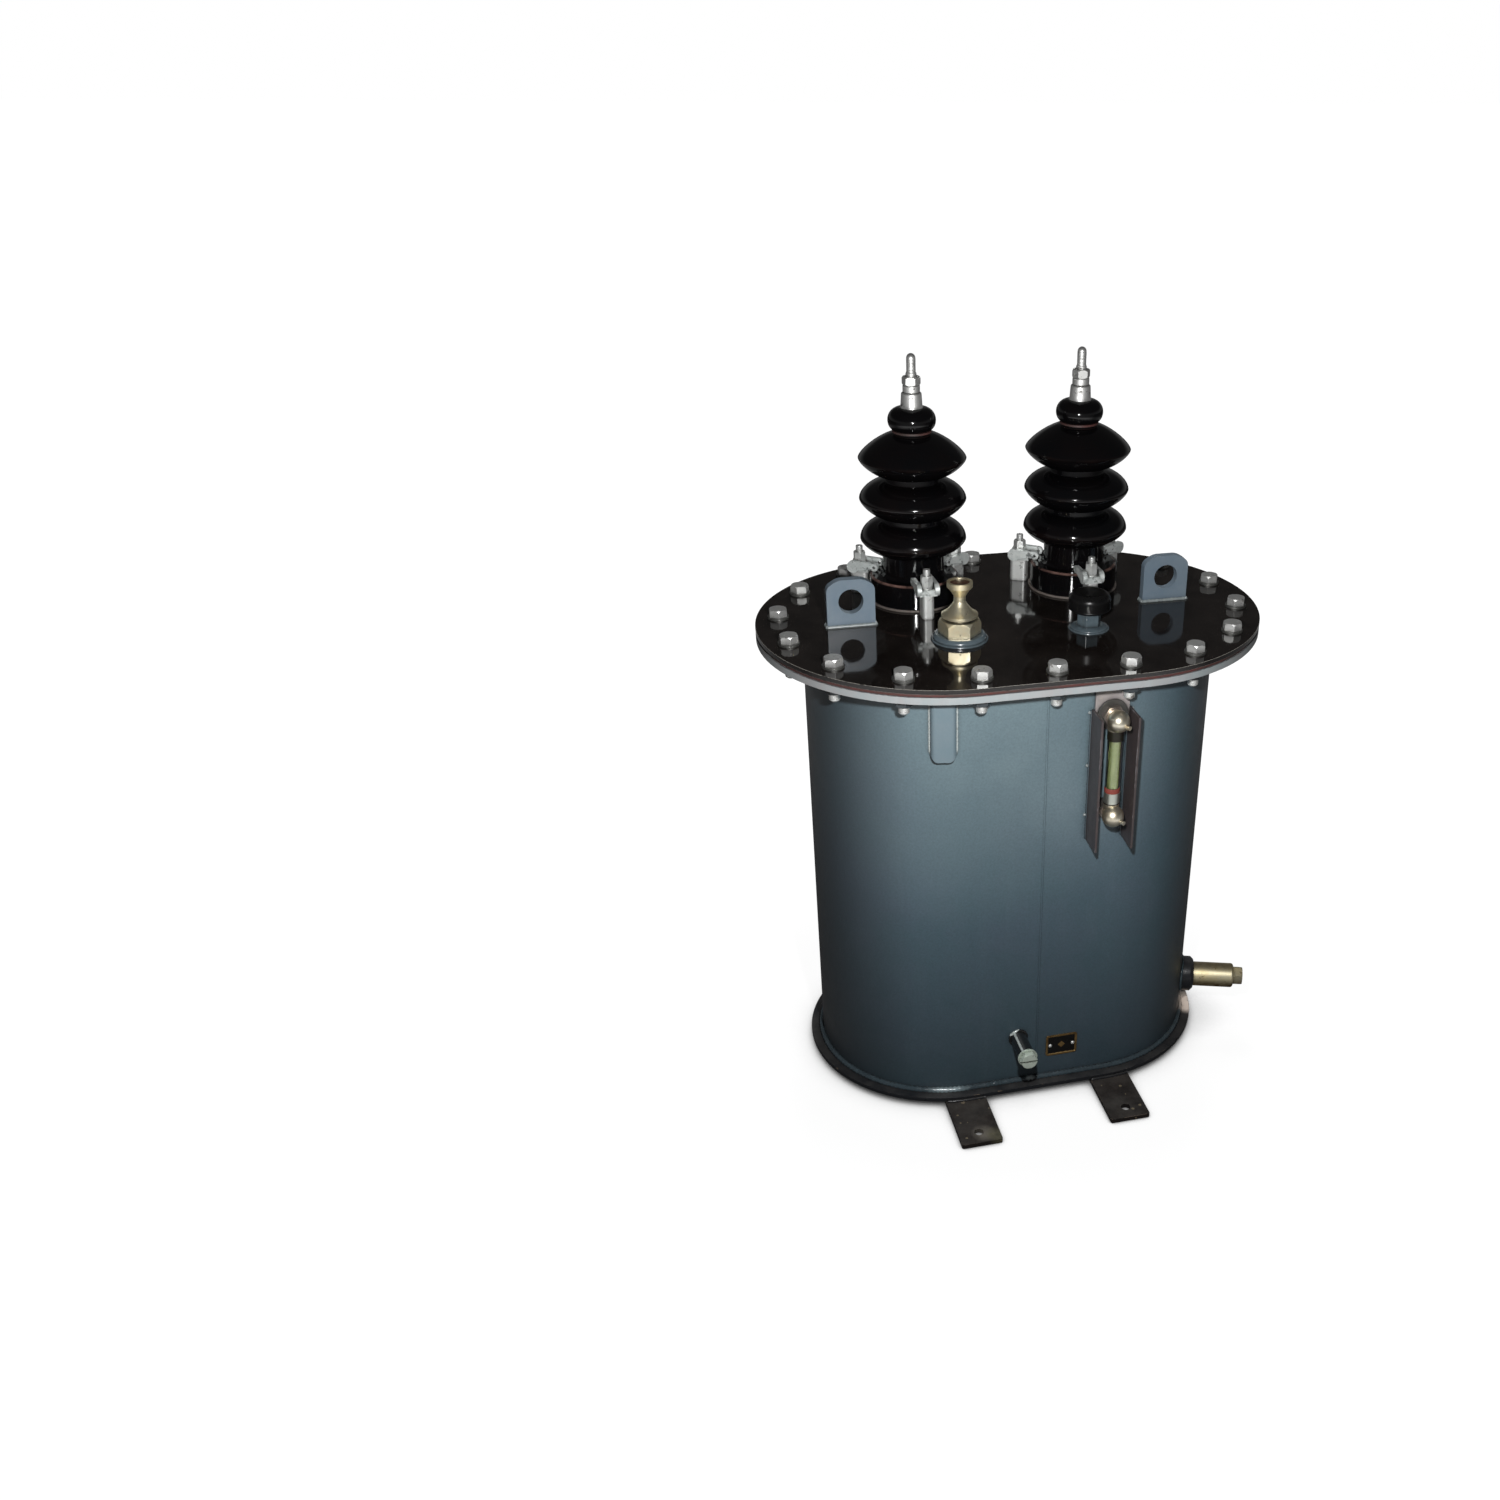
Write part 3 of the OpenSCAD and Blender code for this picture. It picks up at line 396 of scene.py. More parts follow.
def metal(
    name, first, second, roughness, *, stain, stained, grime, metallic, grain=500, bump=0.1, mottle=30.0,
    band=None,
):
    """Bare or plated metal: cloudy tarnish, fine scratches, darker stains in patches, and painted shade in
    corners.

    band is (low z, high z, colour) of a duller ring."""
    finish = Finish(name, Metallic=metallic)
    colour = finish.mottled(mottle, first, second, 0.7)
    rough, height = finish.grained(grain, roughness, 0.08)
    mask = finish.cloud(110.0, 4, 0.7, 0.66 - 0.2 * stained, 0.72 - 0.1 * stained, 0.0, 0.85)
    colour = finish.blend(mask, colour, stain)
    rough = finish.plus(rough, finish.times(mask, 0.2), clamp=True)
    colour = finish.shaded_in_corners(0.004, grime, colour, METAL_SHADE_COLOUR)
    if band:
        low_z, high_z, dull = band
        colour = finish.blend(finish.between(finish.z, low_z, high_z, 0.0004), colour, dull)
    finish.colour(colour)
    finish.surface(rough, height, bump, 0.0003)
    return finish


# Finishes

# In each finish, grime is its share of painted shade in corners
FINISHES = {finish.name: finish for finish in (
    paint(
        "tank_paint", (0.074, 0.132, 0.165), (0.094, 0.136, 0.182), 0.42, bump=0.10, grain=650, spec=1.0,
        worn=(0.20, 0.23, 0.24), wear=0.3, specks=0.010, speck_colour=(0.42, 0.43, 0.44), dust=0.10,
        runs=0.12, run_colour=(0.20, 0.28, 0.31), grime=0.8, wave=0.12, mottle=9, grit=0.13,
        # rising and ends are painted shade: darker towards the bottom and towards the round ends
        bottom_shade=(0.0, 0.30, 0.54), ends=(0.150, 0.232, 0.62),
        # faded is a painted pool of light on the upper front, left of the middle
        painted_light=((-0.065, -0.153, 0.50), 0.06, 0.20, (0.168, 0.242, 0.272)),
        patches=(
            ((0.040, -0.153, 0.40), 0.012, 0.060, 0.42, (0.22, 0.30, 0.34)),
            ((0.226, -0.052, 0.030), 0.004, 0.016, 0.9, (0.30, 0.24, 0.19)),
        ),
    ),
    paint(
        "weld_paint", (0.060, 0.090, 0.108), (0.036, 0.052, 0.064), 0.17, bump=0.4, grain=420, spec=1.0,
        mottle=40, dust=0.1, specks=0.05, speck_colour=(0.22, 0.24, 0.25), grime=0.5,
        patches=(
            ((0.238, -0.050, 0.012), 0.012, 0.014, 1.3, (0.85, 0.72, 0.62)),
            # These two patches are painted glints on the front of the base weld
            ((-0.112, -0.155, 0.014), 0.010, 0.018, 0.8, (0.50, 0.64, 0.68)),
            ((-0.008, -0.156, 0.014), 0.003, 0.004, 1.0, (0.75, 0.85, 0.86)),
        ),
    ),
    paint(
        "base_paint", (0.014, 0.016, 0.020), (0.024, 0.025, 0.028), 0.30, bump=0.3, grain=600,
        worn=(0.20, 0.15, 0.11), wear=0.28, dust=0.20, specks=0.05, speck_colour=(0.2, 0.17, 0.15),
        grime=0.6, patches=(((0.243, -0.050, 0.010), 0.013, 0.014, 1.3, (0.85, 0.72, 0.62)),),
    ),
    paint(
        "flange_paint", (0.40, 0.45, 0.46), (0.46, 0.42, 0.42), 0.36, bump=0.35, grain=500, mottle=22,
        spec=0.8, worn=(0.13, 0.14, 0.15), wear=0.75, specks=0.16, speck_colour=(0.14, 0.09, 0.08), runs=0.5,
        run_colour=(0.60, 0.62, 0.62), grime=0.9, corner_shade_reach=0.005, corner_shade_colour=(0.020, 0.016, 0.016),
    ),
    paint(
        "lid_paint", (0.0075, 0.0058, 0.0052), (0.0125, 0.0090, 0.0078), 0.06, change=0.02, bump=0.03,
        # The strong pale wear on the lid's edges is worn paint and a painted highlight along its rim
        grain=260, worn=(0.40, 0.38, 0.34), wear=0.92, dust=0.03, specks=0.012,
        speck_colour=(0.08, 0.075, 0.07), wave=0.05, mottle=12,
    ),
    paint(
        "lug_paint", (0.170, 0.230, 0.290), (0.220, 0.275, 0.325), 0.36, bump=0.3, spec=0.9, mottle=26,
        worn=(0.60, 0.62, 0.52), wear=0.58, dust=0.10, specks=0.10, speck_colour=(0.30, 0.34, 0.36),
        grime=0.9, runs=0.25, run_colour=(0.30, 0.34, 0.36),
    ),
    paint(
        "strap_paint", (0.175, 0.250, 0.290), (0.215, 0.275, 0.310), 0.34, bump=0.3, spec=0.9, mottle=30,
        worn=(0.10, 0.11, 0.12), wear=0.5, grime=0.9, specks=0.1, speck_colour=(0.10, 0.12, 0.13),
        # rooted paints shade where the strap meets the wall
        root_shade=0.0040,
    ),
    paint(
        "foot_steel", (0.014, 0.0115, 0.0115), (0.026, 0.018, 0.015), 0.44, bump=0.6, grain=420, mottle=34,
        spec=0.32, worn=(0.17, 0.13, 0.10), wear=0.5, specks=0.70, speck_size=0.34, speck_scale=95.0,
        speck_colour=(0.21, 0.17, 0.11), dust=0.25,
        patches=(
            ((-0.088, -0.232, 0.006), 0.006, 0.010, 0.9, (0.20, 0.18, 0.15)),
            ((-0.073, -0.238, 0.006), 0.004, 0.012, 0.9, (0.16, 0.15, 0.09)),
        ),
    ),
    paint(
        "pad_paint", (0.42, 0.38, 0.37), (0.29, 0.26, 0.255), 0.34, mottle=50, spec=0.8,
        worn=(0.5, 0.48, 0.46), wear=0.5, specks=0.12, speck_colour=(0.1, 0.07, 0.06), grime=0.9,
    ),
    paint(
        "guard_paint", (0.066, 0.054, 0.056), (0.088, 0.066, 0.064), 0.42, mottle=30, bump=0.35, spec=0.6,
        worn=(0.22, 0.21, 0.22), wear=0.42, dust=0.1, grime=0.9, runs=0.4, run_colour=(0.13, 0.10, 0.10),
    ),
    paint(
        "boss_steel", (0.060, 0.060, 0.055), (0.085, 0.078, 0.070), 0.34, mottle=50, spec=0.8,
        worn=(0.25, 0.23, 0.22), wear=0.4, grime=0.8,
    ),
    paint(
        "collar_paint", (0.105, 0.140, 0.160), (0.058, 0.076, 0.090), 0.22, mottle=70, spec=1.0,
        worn=(0.34, 0.38, 0.39), wear=0.35, grime=1.0, corner_shade_reach=0.006,
    ),
    paint(
        "earth_paint", (0.012, 0.013, 0.014), (0.020, 0.020, 0.021), 0.16, mottle=50, spec=1.0,
        worn=(0.10, 0.10, 0.10), wear=0.3, grime=0.8,
    ),
    paint(
        "weld_pale", (0.36, 0.40, 0.40), (0.20, 0.24, 0.25), 0.30, mottle=80, spec=1.0, bump=0.4, grime=0.6,
        corner_shade_reach=0.004,
    ),
    paint(
        "gasket_rubber", (0.060, 0.044, 0.040), (0.125, 0.040, 0.036), 0.5, bump=0.4, mottle=18, amount=0.9,
        specks=0.25, speck_colour=(0.20, 0.18, 0.17),
    ),
    paint(
        "gasket_cork", (0.22, 0.19, 0.17), (0.13, 0.10, 0.085), 0.6, bump=0.8, grain=1100, mottle=60,
        grime=0.6,
    ),
    paint("ring_rubber", (0.36, 0.075, 0.055), (0.26, 0.07, 0.055), 0.45, bump=0.2, mottle=80),
    paint(
        "cap_plastic", (0.0040, 0.0042, 0.0046), (0.0070, 0.0066, 0.0066), 0.30, bump=0.15, dust=0.03,
        worn=(0.06, 0.055, 0.055), wear=0.4, spec=0.3,
    ),
    paint("vent_insert", (0.045, 0.020, 0.012), (0.12, 0.05, 0.03), 0.45, bump=0.3, mottle=90),
    paint(
        "nut_paint", (0.030, 0.040, 0.048), (0.050, 0.062, 0.070), 0.30, bump=0.3, mottle=60, spec=0.8,
        worn=(0.30, 0.31, 0.30), wear=0.4, grime=0.9, corner_shade_reach=0.004,
    ),
    metal(
        "zinc", (0.97, 0.98, 0.96), (0.86, 0.88, 0.86), 0.50, stain=(0.16, 0.15, 0.14), stained=0.3,
        grime=0.9, metallic=0.8,
    ),
    metal(
        "claw_casting", (0.96, 1.0, 0.98), (0.66, 0.72, 0.70), 0.46, bump=0.9, grain=330, mottle=60,
        stain=(0.10, 0.11, 0.11), stained=0.55, grime=1.0, metallic=0.55,
    ),
    metal(
        "tinned", (0.98, 0.98, 0.96), (0.88, 0.88, 0.86), 0.46, stain=(0.12, 0.11, 0.10), stained=0.35,
        grime=0.9, metallic=0.88,
    ),
    metal(
        "brass", (1.0, 0.93, 0.70), (0.95, 0.80, 0.50), 0.42, stain=(0.16, 0.09, 0.03), stained=0.22,
        grime=1.0, metallic=0.92,
    ),
    metal(
        "drain_brass", (1.0, 0.93, 0.68), (0.96, 0.80, 0.44), 0.44, stain=(0.16, 0.09, 0.03), stained=0.15,
        grime=1.0, metallic=0.90,
    ),
    metal(
        "bolts", (0.99, 0.99, 0.97), (0.90, 0.91, 0.88), 0.50, stain=(0.18, 0.16, 0.14), stained=0.3,
        grime=0.9, metallic=0.88, band=(LID_TOP - 0.001, LID_TOP + 0.0028, (0.20, 0.20, 0.19)),
    ),
    metal(
        "earth_bolt", (0.80, 0.90, 0.78), (0.55, 0.64, 0.56), 0.42, stain=(0.10, 0.12, 0.10), stained=0.4,
        grime=0.9, metallic=0.3,
    ),
)}


def make_porcelain():
    """Black glaze, brown where it runs thin over the sheds' rims; the copper-brown line on each foot's rim
    is thin glaze and a painted highlight
    """
    finish = Finish("porcelain", Specular_IOR_Level=0.44)
    glaze = finish.mottled(14.0, (0.0028, 0.0030, 0.0036), (0.0050, 0.0034, 0.0036), 0.7)
    sideways = finish.minus(finish.math("ABSOLUTE", finish.x), BUSHING_X)
    backward = finish.minus(finish.y, BUSHING_Y)
    squares = finish.plus(finish.math("POWER", sideways, 2.0), finish.math("POWER", backward, 2.0))
    radius = finish.math("SQRT", squares)
    streaky = finish.cloud(45.0, 4, 0.6, 0.35, 0.7)
    shed_rim = finish.spread(radius, 0.0592, 0.0610)
    colour = finish.blend(finish.times(shed_rim, streaky), glaze, (0.012, 0.007, 0.006))
    # Painted highlight: a copper line along the top of each foot, where the glaze also runs thin
    level = finish.spread(finish.off(finish.z, FOOT_RIM_Z - 0.0004), 0.0008, 0.0020, 1.0, 0.0)
    rim_glaze_and_highlight = finish.times(level, finish.spread(radius, 0.0475, 0.0490))
    finish.colour(finish.blend(finish.times(rim_glaze_and_highlight, streaky), colour, (0.26, 0.150, 0.125)))
    finish.surface(*finish.grained(120.0, 0.11, 0.02), 0.05, 0.0006)
    return finish


def make_glass():
    """Clear tube with a faint green cast and fine wiped marks"""
    finish = Finish("gauge_glass", Transmission_Weight=1.0, IOR=1.47)
    finish.colour(finish.mottled(90.0, (0.96, 0.98, 0.93), (0.88, 0.92, 0.80), 0.5))
    finish.feed(finish.shader, "Roughness", finish.grained(700.0, 0.05, 0.04)[0])
    return finish


def make_oil():
    """Olive oil behind the glass, cloudy between a paler and a darker olive"""
    finish = Finish("gauge_oil", Roughness=0.2)
    finish.colour(finish.mottled(60.0, (0.36, 0.40, 0.20), (0.24, 0.28, 0.12), 0.8))
    return finish


def make_gauge_brass():
    """Brass of the gauge: near-black and not metallic at the upper gland, plated at the lower socket, dull on
    the hexagons, with painted shade in its corners
    """
    finish = Finish("gauge_brass")
    colour = finish.mottled(60.0, (1.0, 0.94, 0.78), (0.90, 0.77, 0.54), 0.7)
    rough, height = finish.grained(500.0, 0.37, 0.08)
    colour = finish.shaded_in_corners(0.004, 0.9, colour, (0.05, 0.025, 0.012))
    gland_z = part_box("gauge_fitting_upper")[0].z
    socket_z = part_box("gauge_fitting_lower")[1].z
    gland = finish.between(finish.z, gland_z - 0.001, gland_z + 0.0125, 0.001)
    colour = finish.blend(gland, colour, (0.020, 0.018, 0.012))
    socket = finish.between(finish.z, socket_z - 0.0140, socket_z + 0.001, 0.001)
    colour = finish.blend(socket, colour, (0.80, 0.84, 0.76))
    groove = finish.between(finish.z, socket_z - 0.0142, socket_z - 0.0126, 0.0004)
    colour = finish.blend(groove, colour, (0.02, 0.015, 0.01))
    hexagons = finish.spread(finish.y, -TANK_R - 0.0125, -TANK_R - 0.0120)
    finish.colour(finish.blend(finish.times(hexagons, 0.75), colour, (0.46, 0.40, 0.40)))
    finish.feed(finish.shader, "Metallic", finish.minus(0.95, finish.times(gland, 0.8)))
    finish.surface(rough, height, 0.12, 0.0003)
    return finish


def make_plate_metal():
    """Brass plate: a gold-brown border and a middle mark around a black field"""
    field_x, field_z, mark_size, soft = 0.0170, 0.0120, 0.0042, 0.0006
    finish = Finish("plate_metal")
    colour = finish.mottled(120.0, (0.46, 0.30, 0.12), (0.26, 0.15, 0.06), 0.8)
    low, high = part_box("marking_plate")
    across = finish.off(finish.x, (low.x + high.x) / 2)
    upward = finish.off(finish.z, (low.z + high.z) / 2)
    wobble = finish.times(finish.minus(finish.noise(700.0), 0.5), 0.0008)
    field = finish.times(
        finish.spread(finish.plus(across, wobble), field_x, field_x + soft, 1.0, 0.0),
        finish.spread(finish.plus(upward, wobble), field_z, field_z + soft, 1.0, 0.0),
    )
    mark = finish.spread(finish.plus(finish.plus(across, upward), wobble), mark_size, mark_size + 0.0008)
    field = finish.times(field, mark)
    finish.colour(finish.blend(field, colour, (0.0045, 0.0038, 0.0036)))
    finish.feed(finish.shader, "Metallic", finish.times(finish.minus(1.0, field), 0.8))
    finish.surface(*finish.grained(900.0, 0.35, 0.1), 0.2, 0.0002)
    return finish


def add_highlight_streak(finish, node, lean, colour):
    """Painted highlight: a bright line along a round piece that points forwards, on the side towards lean"""
    low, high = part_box(node)
    radius = (high.x - low.x) / 2
    along = finish.plus(
        finish.times(finish.minus(finish.x, (low.x + high.x) / 2), lean[0]),
        finish.times(finish.minus(finish.z, (low.z + high.z) / 2), lean[1]),
    )
    line = finish.spread(along, radius * 0.984, radius * 0.997)
    finish.recolour(finish.times(line, finish.cloud(320.0, 3, 0.6, 0.25, 0.5, 0.35)), colour)


def add_shade_bands(finish, node, colour):
    """Painted shade along the top and the bottom of a round piece that lies flat, leaving a lighter band a
    little above its middle
    """
    low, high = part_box(node)
    middle, radius = (low.z + high.z) / 2, (high.z - low.z) / 2
    off = finish.off(finish.z, middle + radius * 0.42)
    edges = finish.spread(off, radius * 0.30, radius * 0.80)
    finish.recolour(finish.times(edges, finish.cloud(130.0, 4, 0.6, 0.3, 0.6, 0.6)), colour)


for finish in (make_porcelain(), make_glass(), make_oil(), make_gauge_brass(), make_plate_metal()):
    FINISHES[finish.name] = finish
# Painted highlight along the upper left of the earth boss
add_highlight_streak(FINISHES["earth_paint"], "earth_boss", (-0.55, 0.835), (0.62, 0.68, 0.66))
# Painted shade on the drain valve's top and bottom
add_shade_bands(FINISHES["drain_brass"], "drain_valve", (0.20, 0.115, 0.035))


# Making pieces

MERGE_DISTANCE = 0.00002


def pick(*pieces):
    bpy.ops.object.select_all(action="DESELECT")
    for piece in pieces:
        piece.select_set(True)
    bpy.context.view_layer.objects.active = pieces[0]


@contextmanager
def editing(piece):
    """Edit mode on one piece, which is left again at the end"""
    pick(piece)
    bpy.ops.object.mode_set(mode="EDIT")
    yield
    bpy.ops.object.mode_set(mode="OBJECT")


def choose(piece, kind, wanted):
    """Selects only the edges or the faces of a piece that are wanted, for its next edit"""
    with editing(piece):
        bpy.ops.mesh.select_mode(type=kind)
        bpy.ops.mesh.select_all(action="DESELECT")
    for part in piece.data.edges if kind == "EDGE" else piece.data.polygons:
        part.select = wanted(part)


def edge_ends(piece, edge):
    return [piece.data.vertices[v].co for v in edge.vertices]


def dress(piece, finish, slot, *nodes):
    """Gives a finished piece its material, lets it ride, and hides the nodes it stands for; slot is not used"""
    piece.data.materials.clear()
    piece.data.materials.append(FINISHES[finish].material)
    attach(piece, "root")
    if nodes:
        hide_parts(*nodes)
    return piece


def mark_edges(piece):
    """Edge attribute: 1 in the middle of each rounded corner, 0 on the faces beside it"""
    mesh = piece.data
    on_corner = [True] * len(mesh.vertices)
    touched = [False] * len(mesh.vertices)
    for face in mesh.polygons:
        for v in face.vertices:
            touched[v] = True
            if face.material_index == 0:
                on_corner[v] = False
    attribute = mesh.attributes.new("edge", "FLOAT", "POINT")
    attribute.data.foreach_set("value", [float(a and b) for a, b in zip(on_corner, touched)])
    for face in mesh.polygons:
        face.material_index = 0


def smooth(piece, angle):
    """Shades a piece round below the angle, in degrees, with its large faces kept flat"""
    pick(piece)
    bpy.ops.object.shade_smooth_by_angle(angle=math.radians(angle))
    evening = piece.modifiers.new("evening", "WEIGHTED_NORMAL")
    evening.keep_sharp = True
    bpy.ops.object.modifier_apply(modifier=evening.name)


def round_corners(piece, width, segments=2):
    """Rounds a piece's corners and marks them for the wear in its paint"""
    while len(piece.data.materials) < 2:
        piece.data.materials.append(None)
    pick(piece)
    rounding = piece.modifiers.new("rounding", "BEVEL")
    rounding.width = width
    rounding.segments = segments
    rounding.limit_method = "ANGLE"
    rounding.angle_limit = math.radians(30)
    rounding.material = 1
    rounding.use_clamp_overlap = True
    bpy.ops.object.modifier_apply(modifier=rounding.name)
    mark_edges(piece)
    smooth(piece, 32)


def merged_copy(node, ending, flatten=True):
    """Copy of a CAD node with its loose triangles merged, and its flat faces made whole"""
    piece = bpy.data.objects.new(node + ending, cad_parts[node].data.copy())
    bpy.context.scene.collection.objects.link(piece)
    piece.data.materials.clear()
    pick(piece)
    if piece.data.has_custom_normals:
        bpy.ops.mesh.customdata_custom_splitnormals_clear()
    with editing(piece):
        bpy.ops.mesh.select_all(action="SELECT")
        bpy.ops.mesh.remove_doubles(threshold=MERGE_DISTANCE)
        if flatten:
            bpy.ops.mesh.dissolve_limited(angle_limit=math.radians(0.6))
    return piece


def turn_upright(piece, degrees):
    """Turns a piece about its own upright axis, clockwise as seen from above"""
    corners = [v.co for v in piece.data.vertices]
    middle = [(min(c[i] for c in corners) + max(c[i] for c in corners)) / 2 for i in range(3)]
    with editing(piece):
        bpy.ops.mesh.select_all(action="SELECT")
        bpy.ops.transform.rotate(value=math.radians(degrees), orient_axis="Z", center_override=middle)


def turn_parts(piece):
    """Turns every loose part about its own upright axis, as hand-tightened bolts stand"""
    name = piece.name
    with editing(piece):
        bpy.ops.mesh.select_all(action="SELECT")
        bpy.ops.mesh.separate(type="LOOSE")
    parts = sorted(bpy.context.selected_objects, key=lambda part: tuple(part.data.vertices[0].co))
    for part in parts:
        turn_upright(part, dice.uniform(0, 60))
    pick(*parts)
    bpy.ops.object.join()
    whole = bpy.context.active_object
    whole.name = name
    return whole


def slot_of(node):
    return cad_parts[node].data.materials[0].name.split(".")[0]


def softened(node, width, finish=None, segments=2, turned=False, turn=0.0):
    """Copy of a CAD node with its corners rounded; turned gives each loose part a turn of its own, and
    turn, in degrees, turns the whole piece"""
    slot = slot_of(node)
    piece = merged_copy(node, "_soft")
    if turned:
        piece = turn_parts(piece)
    if turn:
        turn_upright(piece, turn)
    round_corners(piece, width, segments)
    return dress(piece, finish or slot, slot, node)


def smoothed(node):
    """Copy of a CAD node, merged and shaded round, for turned pieces with no corner to round"""
    slot = slot_of(node)
    piece = merged_copy(node, "_smooth", flatten=False)
    bpy.ops.object.shade_smooth_by_angle(angle=math.radians(40))
    return dress(piece, slot, slot, node)


def lug(node):
    """Lifting lug, whose top corners are rounded off wider than its other edges"""
    low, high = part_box(node)
    piece = merged_copy(node, "_soft")

    def top_corner(edge):
        a, b = edge_ends(piece, edge)
        return abs(a.y - b.y) > 0.8 * (high.y - low.y) and min(a.z, b.z) > high.z - 0.012

    choose(piece, "EDGE", top_corner)
    with editing(piece):
        bpy.ops.mesh.bevel(offset=0.0048, segments=4, affect="EDGES")
    round_corners(piece, 0.0010)
    return dress(piece, "lug_paint", "lug_paint", node)


def wall_point(s, z, out=0.0, radius=TANK_R):
    """Point out from the wall, at arc distance s from the middle of the front, positive to the right"""
    side, d, r = (1 if s >= 0 else -1), abs(s), radius + out
    if d < END_X:
        return (side * d, -r, z)
    a = (d - END_X) / radius
    return (side * (END_X + r * math.sin(a)), -r * math.cos(a), z)


def oval_path(radius, z, spacing):
    """Points along a round-ended outline about the tank, from the middle of the front"""
    arc = math.pi * radius
    total = 4 * END_X + 2 * arc
    count = max(8, round(total / spacing))
    points = []
    for i in range(count):
        d = i * total / count
        mirror = d > total / 2
        d = total - d if mirror else d
        if d < END_X:
            x, y = d, -radius
        elif d < END_X + arc:
            a = (d - END_X) / radius
            x, y = END_X + radius * math.sin(a), -radius * math.cos(a)
        else:
            x, y = 2 * END_X + arc - d, radius
        points.append((-x if mirror else x, y, z))
    return points


def line_path(corners, spacing):
    """Points along straight lines from corner to corner"""
    points = []
    for a, b in zip(corners, corners[1:]):
        a, b = Vector(a), Vector(b)
        steps = max(1, round((b - a).length / spacing))
        points += [tuple(a.lerp(b, i / steps)) for i in range(steps)]
    return points + [tuple(corners[-1])]


def ring_path(centre, radius, spacing):
    """Points around a circle that lies flat"""
    steps = max(12, round(2 * math.pi * radius / spacing))
    angles = [2 * math.pi * i / steps for i in range(steps)]
    return [(centre[0] + radius * math.cos(a), centre[1] + radius * math.sin(a), centre[2]) for a in angles]


def wall_ring(s, z, radius, out=0.0004, spacing=0.0024):
    """Points around a circle on the wall"""
    return [wall_point(s + x, z + y, out) for x, y, _ in ring_path((0, 0, 0), radius, spacing)]


def round_box_path(low, high, corner, z, spacing):
    """Points around a rectangle with round corners, lying flat"""
    points = []
    for cx, cy, first in (
        (high[0] - corner, low[1] + corner, -90), (high[0] - corner, high[1] - corner, 0),
        (low[0] + corner, high[1] - corner, 90), (low[0] + corner, low[1] + corner, 180),
    ):
        for i in range(5):
            a = math.radians(first + 22.5 * i)
            points.append((cx + corner * math.cos(a), cy + corner * math.sin(a), z))
    return line_path(points + points[:1], spacing)[:-1]


def helix(radius, low, high, pitch, steps=16):
    """Points along a screw about the upright axis"""
    count = int((high - low) / pitch * steps)
    angles = [2 * math.pi * i / steps for i in range(count + 1)]
    return [
        (radius * math.cos(a), radius * math.sin(a), low + i * pitch / steps) for i, a in enumerate(angles)
    ]


def tube(name, strands, radius, ripple, sides=1, closed=False):
    """Round strands along lists of points, whose thickness ripples from point to point, as a mesh"""
    data = bpy.data.curves.new(name, "CURVE")
    data.dimensions = "3D"
    data.bevel_depth = radius
    data.bevel_resolution = sides
    data.use_fill_caps = True
    for places in strands:
        spline = data.splines.new("POLY")
        spline.points.add(len(places) - 1)
        for i, (point, place) in enumerate(zip(spline.points, places)):
            point.co = (*place, 1)
            point.radius = 1 + (ripple if i % 2 else -ripple) + dice.uniform(-0.4, 0.4) * ripple
        spline.use_cyclic_u = closed
    piece = bpy.data.objects.new(name, data)
    bpy.context.scene.collection.objects.link(piece)
    pick(piece)
    bpy.ops.object.convert(target="MESH")
    piece = bpy.context.active_object
    smooth(piece, 60)
    return piece


def bead(name, strands, radius, slot, finish="weld_paint", closed=False, ripple=0.16):
    """Weld bead along one or more lists of points"""
    return dress(tube(name, strands, radius, ripple, closed=closed), finish, slot)


def threads(name, places, radius, low, high, pitch, finish, slot):
    """Screw thread: one helix modelled at the first place, then copied to the others"""
    first = tube(name, [helix(radius, low, high, pitch)], pitch * 0.34, 0.0, sides=0)
    copies = [first]
    for _ in places[1:]:
        copy = first.copy()
        copy.data = first.data.copy()
        bpy.context.scene.collection.objects.link(copy)
        copies.append(copy)
    for copy, place in zip(copies, places):
        copy.location = (*place, 0)
        copy.rotation_euler = (0, 0, dice.uniform(0, 6.28))
        pick(copy)
        bpy.ops.object.transform_apply(location=True, rotation=True, scale=True)
    pick(*copies)
    bpy.ops.object.join()
    return dress(bpy.context.active_object, finish, slot)


# Nodes carried over from the solids: each gets its finish, and most a copy with softer corners

for node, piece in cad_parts.items():
    piece.data.materials[0] = FINISHES[slot_of(node)].material

for node, width in {
    "base_plate": 0.0012, "foot_left": 0.0009, "foot_right": 0.0009, "tank_flange": 0.0012,
    "lid_gasket": 0.0008, "lid": 0.0010, "clamp_claws": 0.0009, "clamp_pillars": 0.0006,
    "clamp_studs": 0.0006, "filler_cap": 0.0010, "gauge_pad": 0.0008, "gauge_guard": 0.0009,
    "gauge_bosses": 0.0010, "drain_hub": 0.0014, "bushing_gaskets": 0.0006, "gauge_ring": 0.0005,
    "terminal_left": 0.0004, "terminal_right": 0.0004,
}.items():
    softened(node, width)

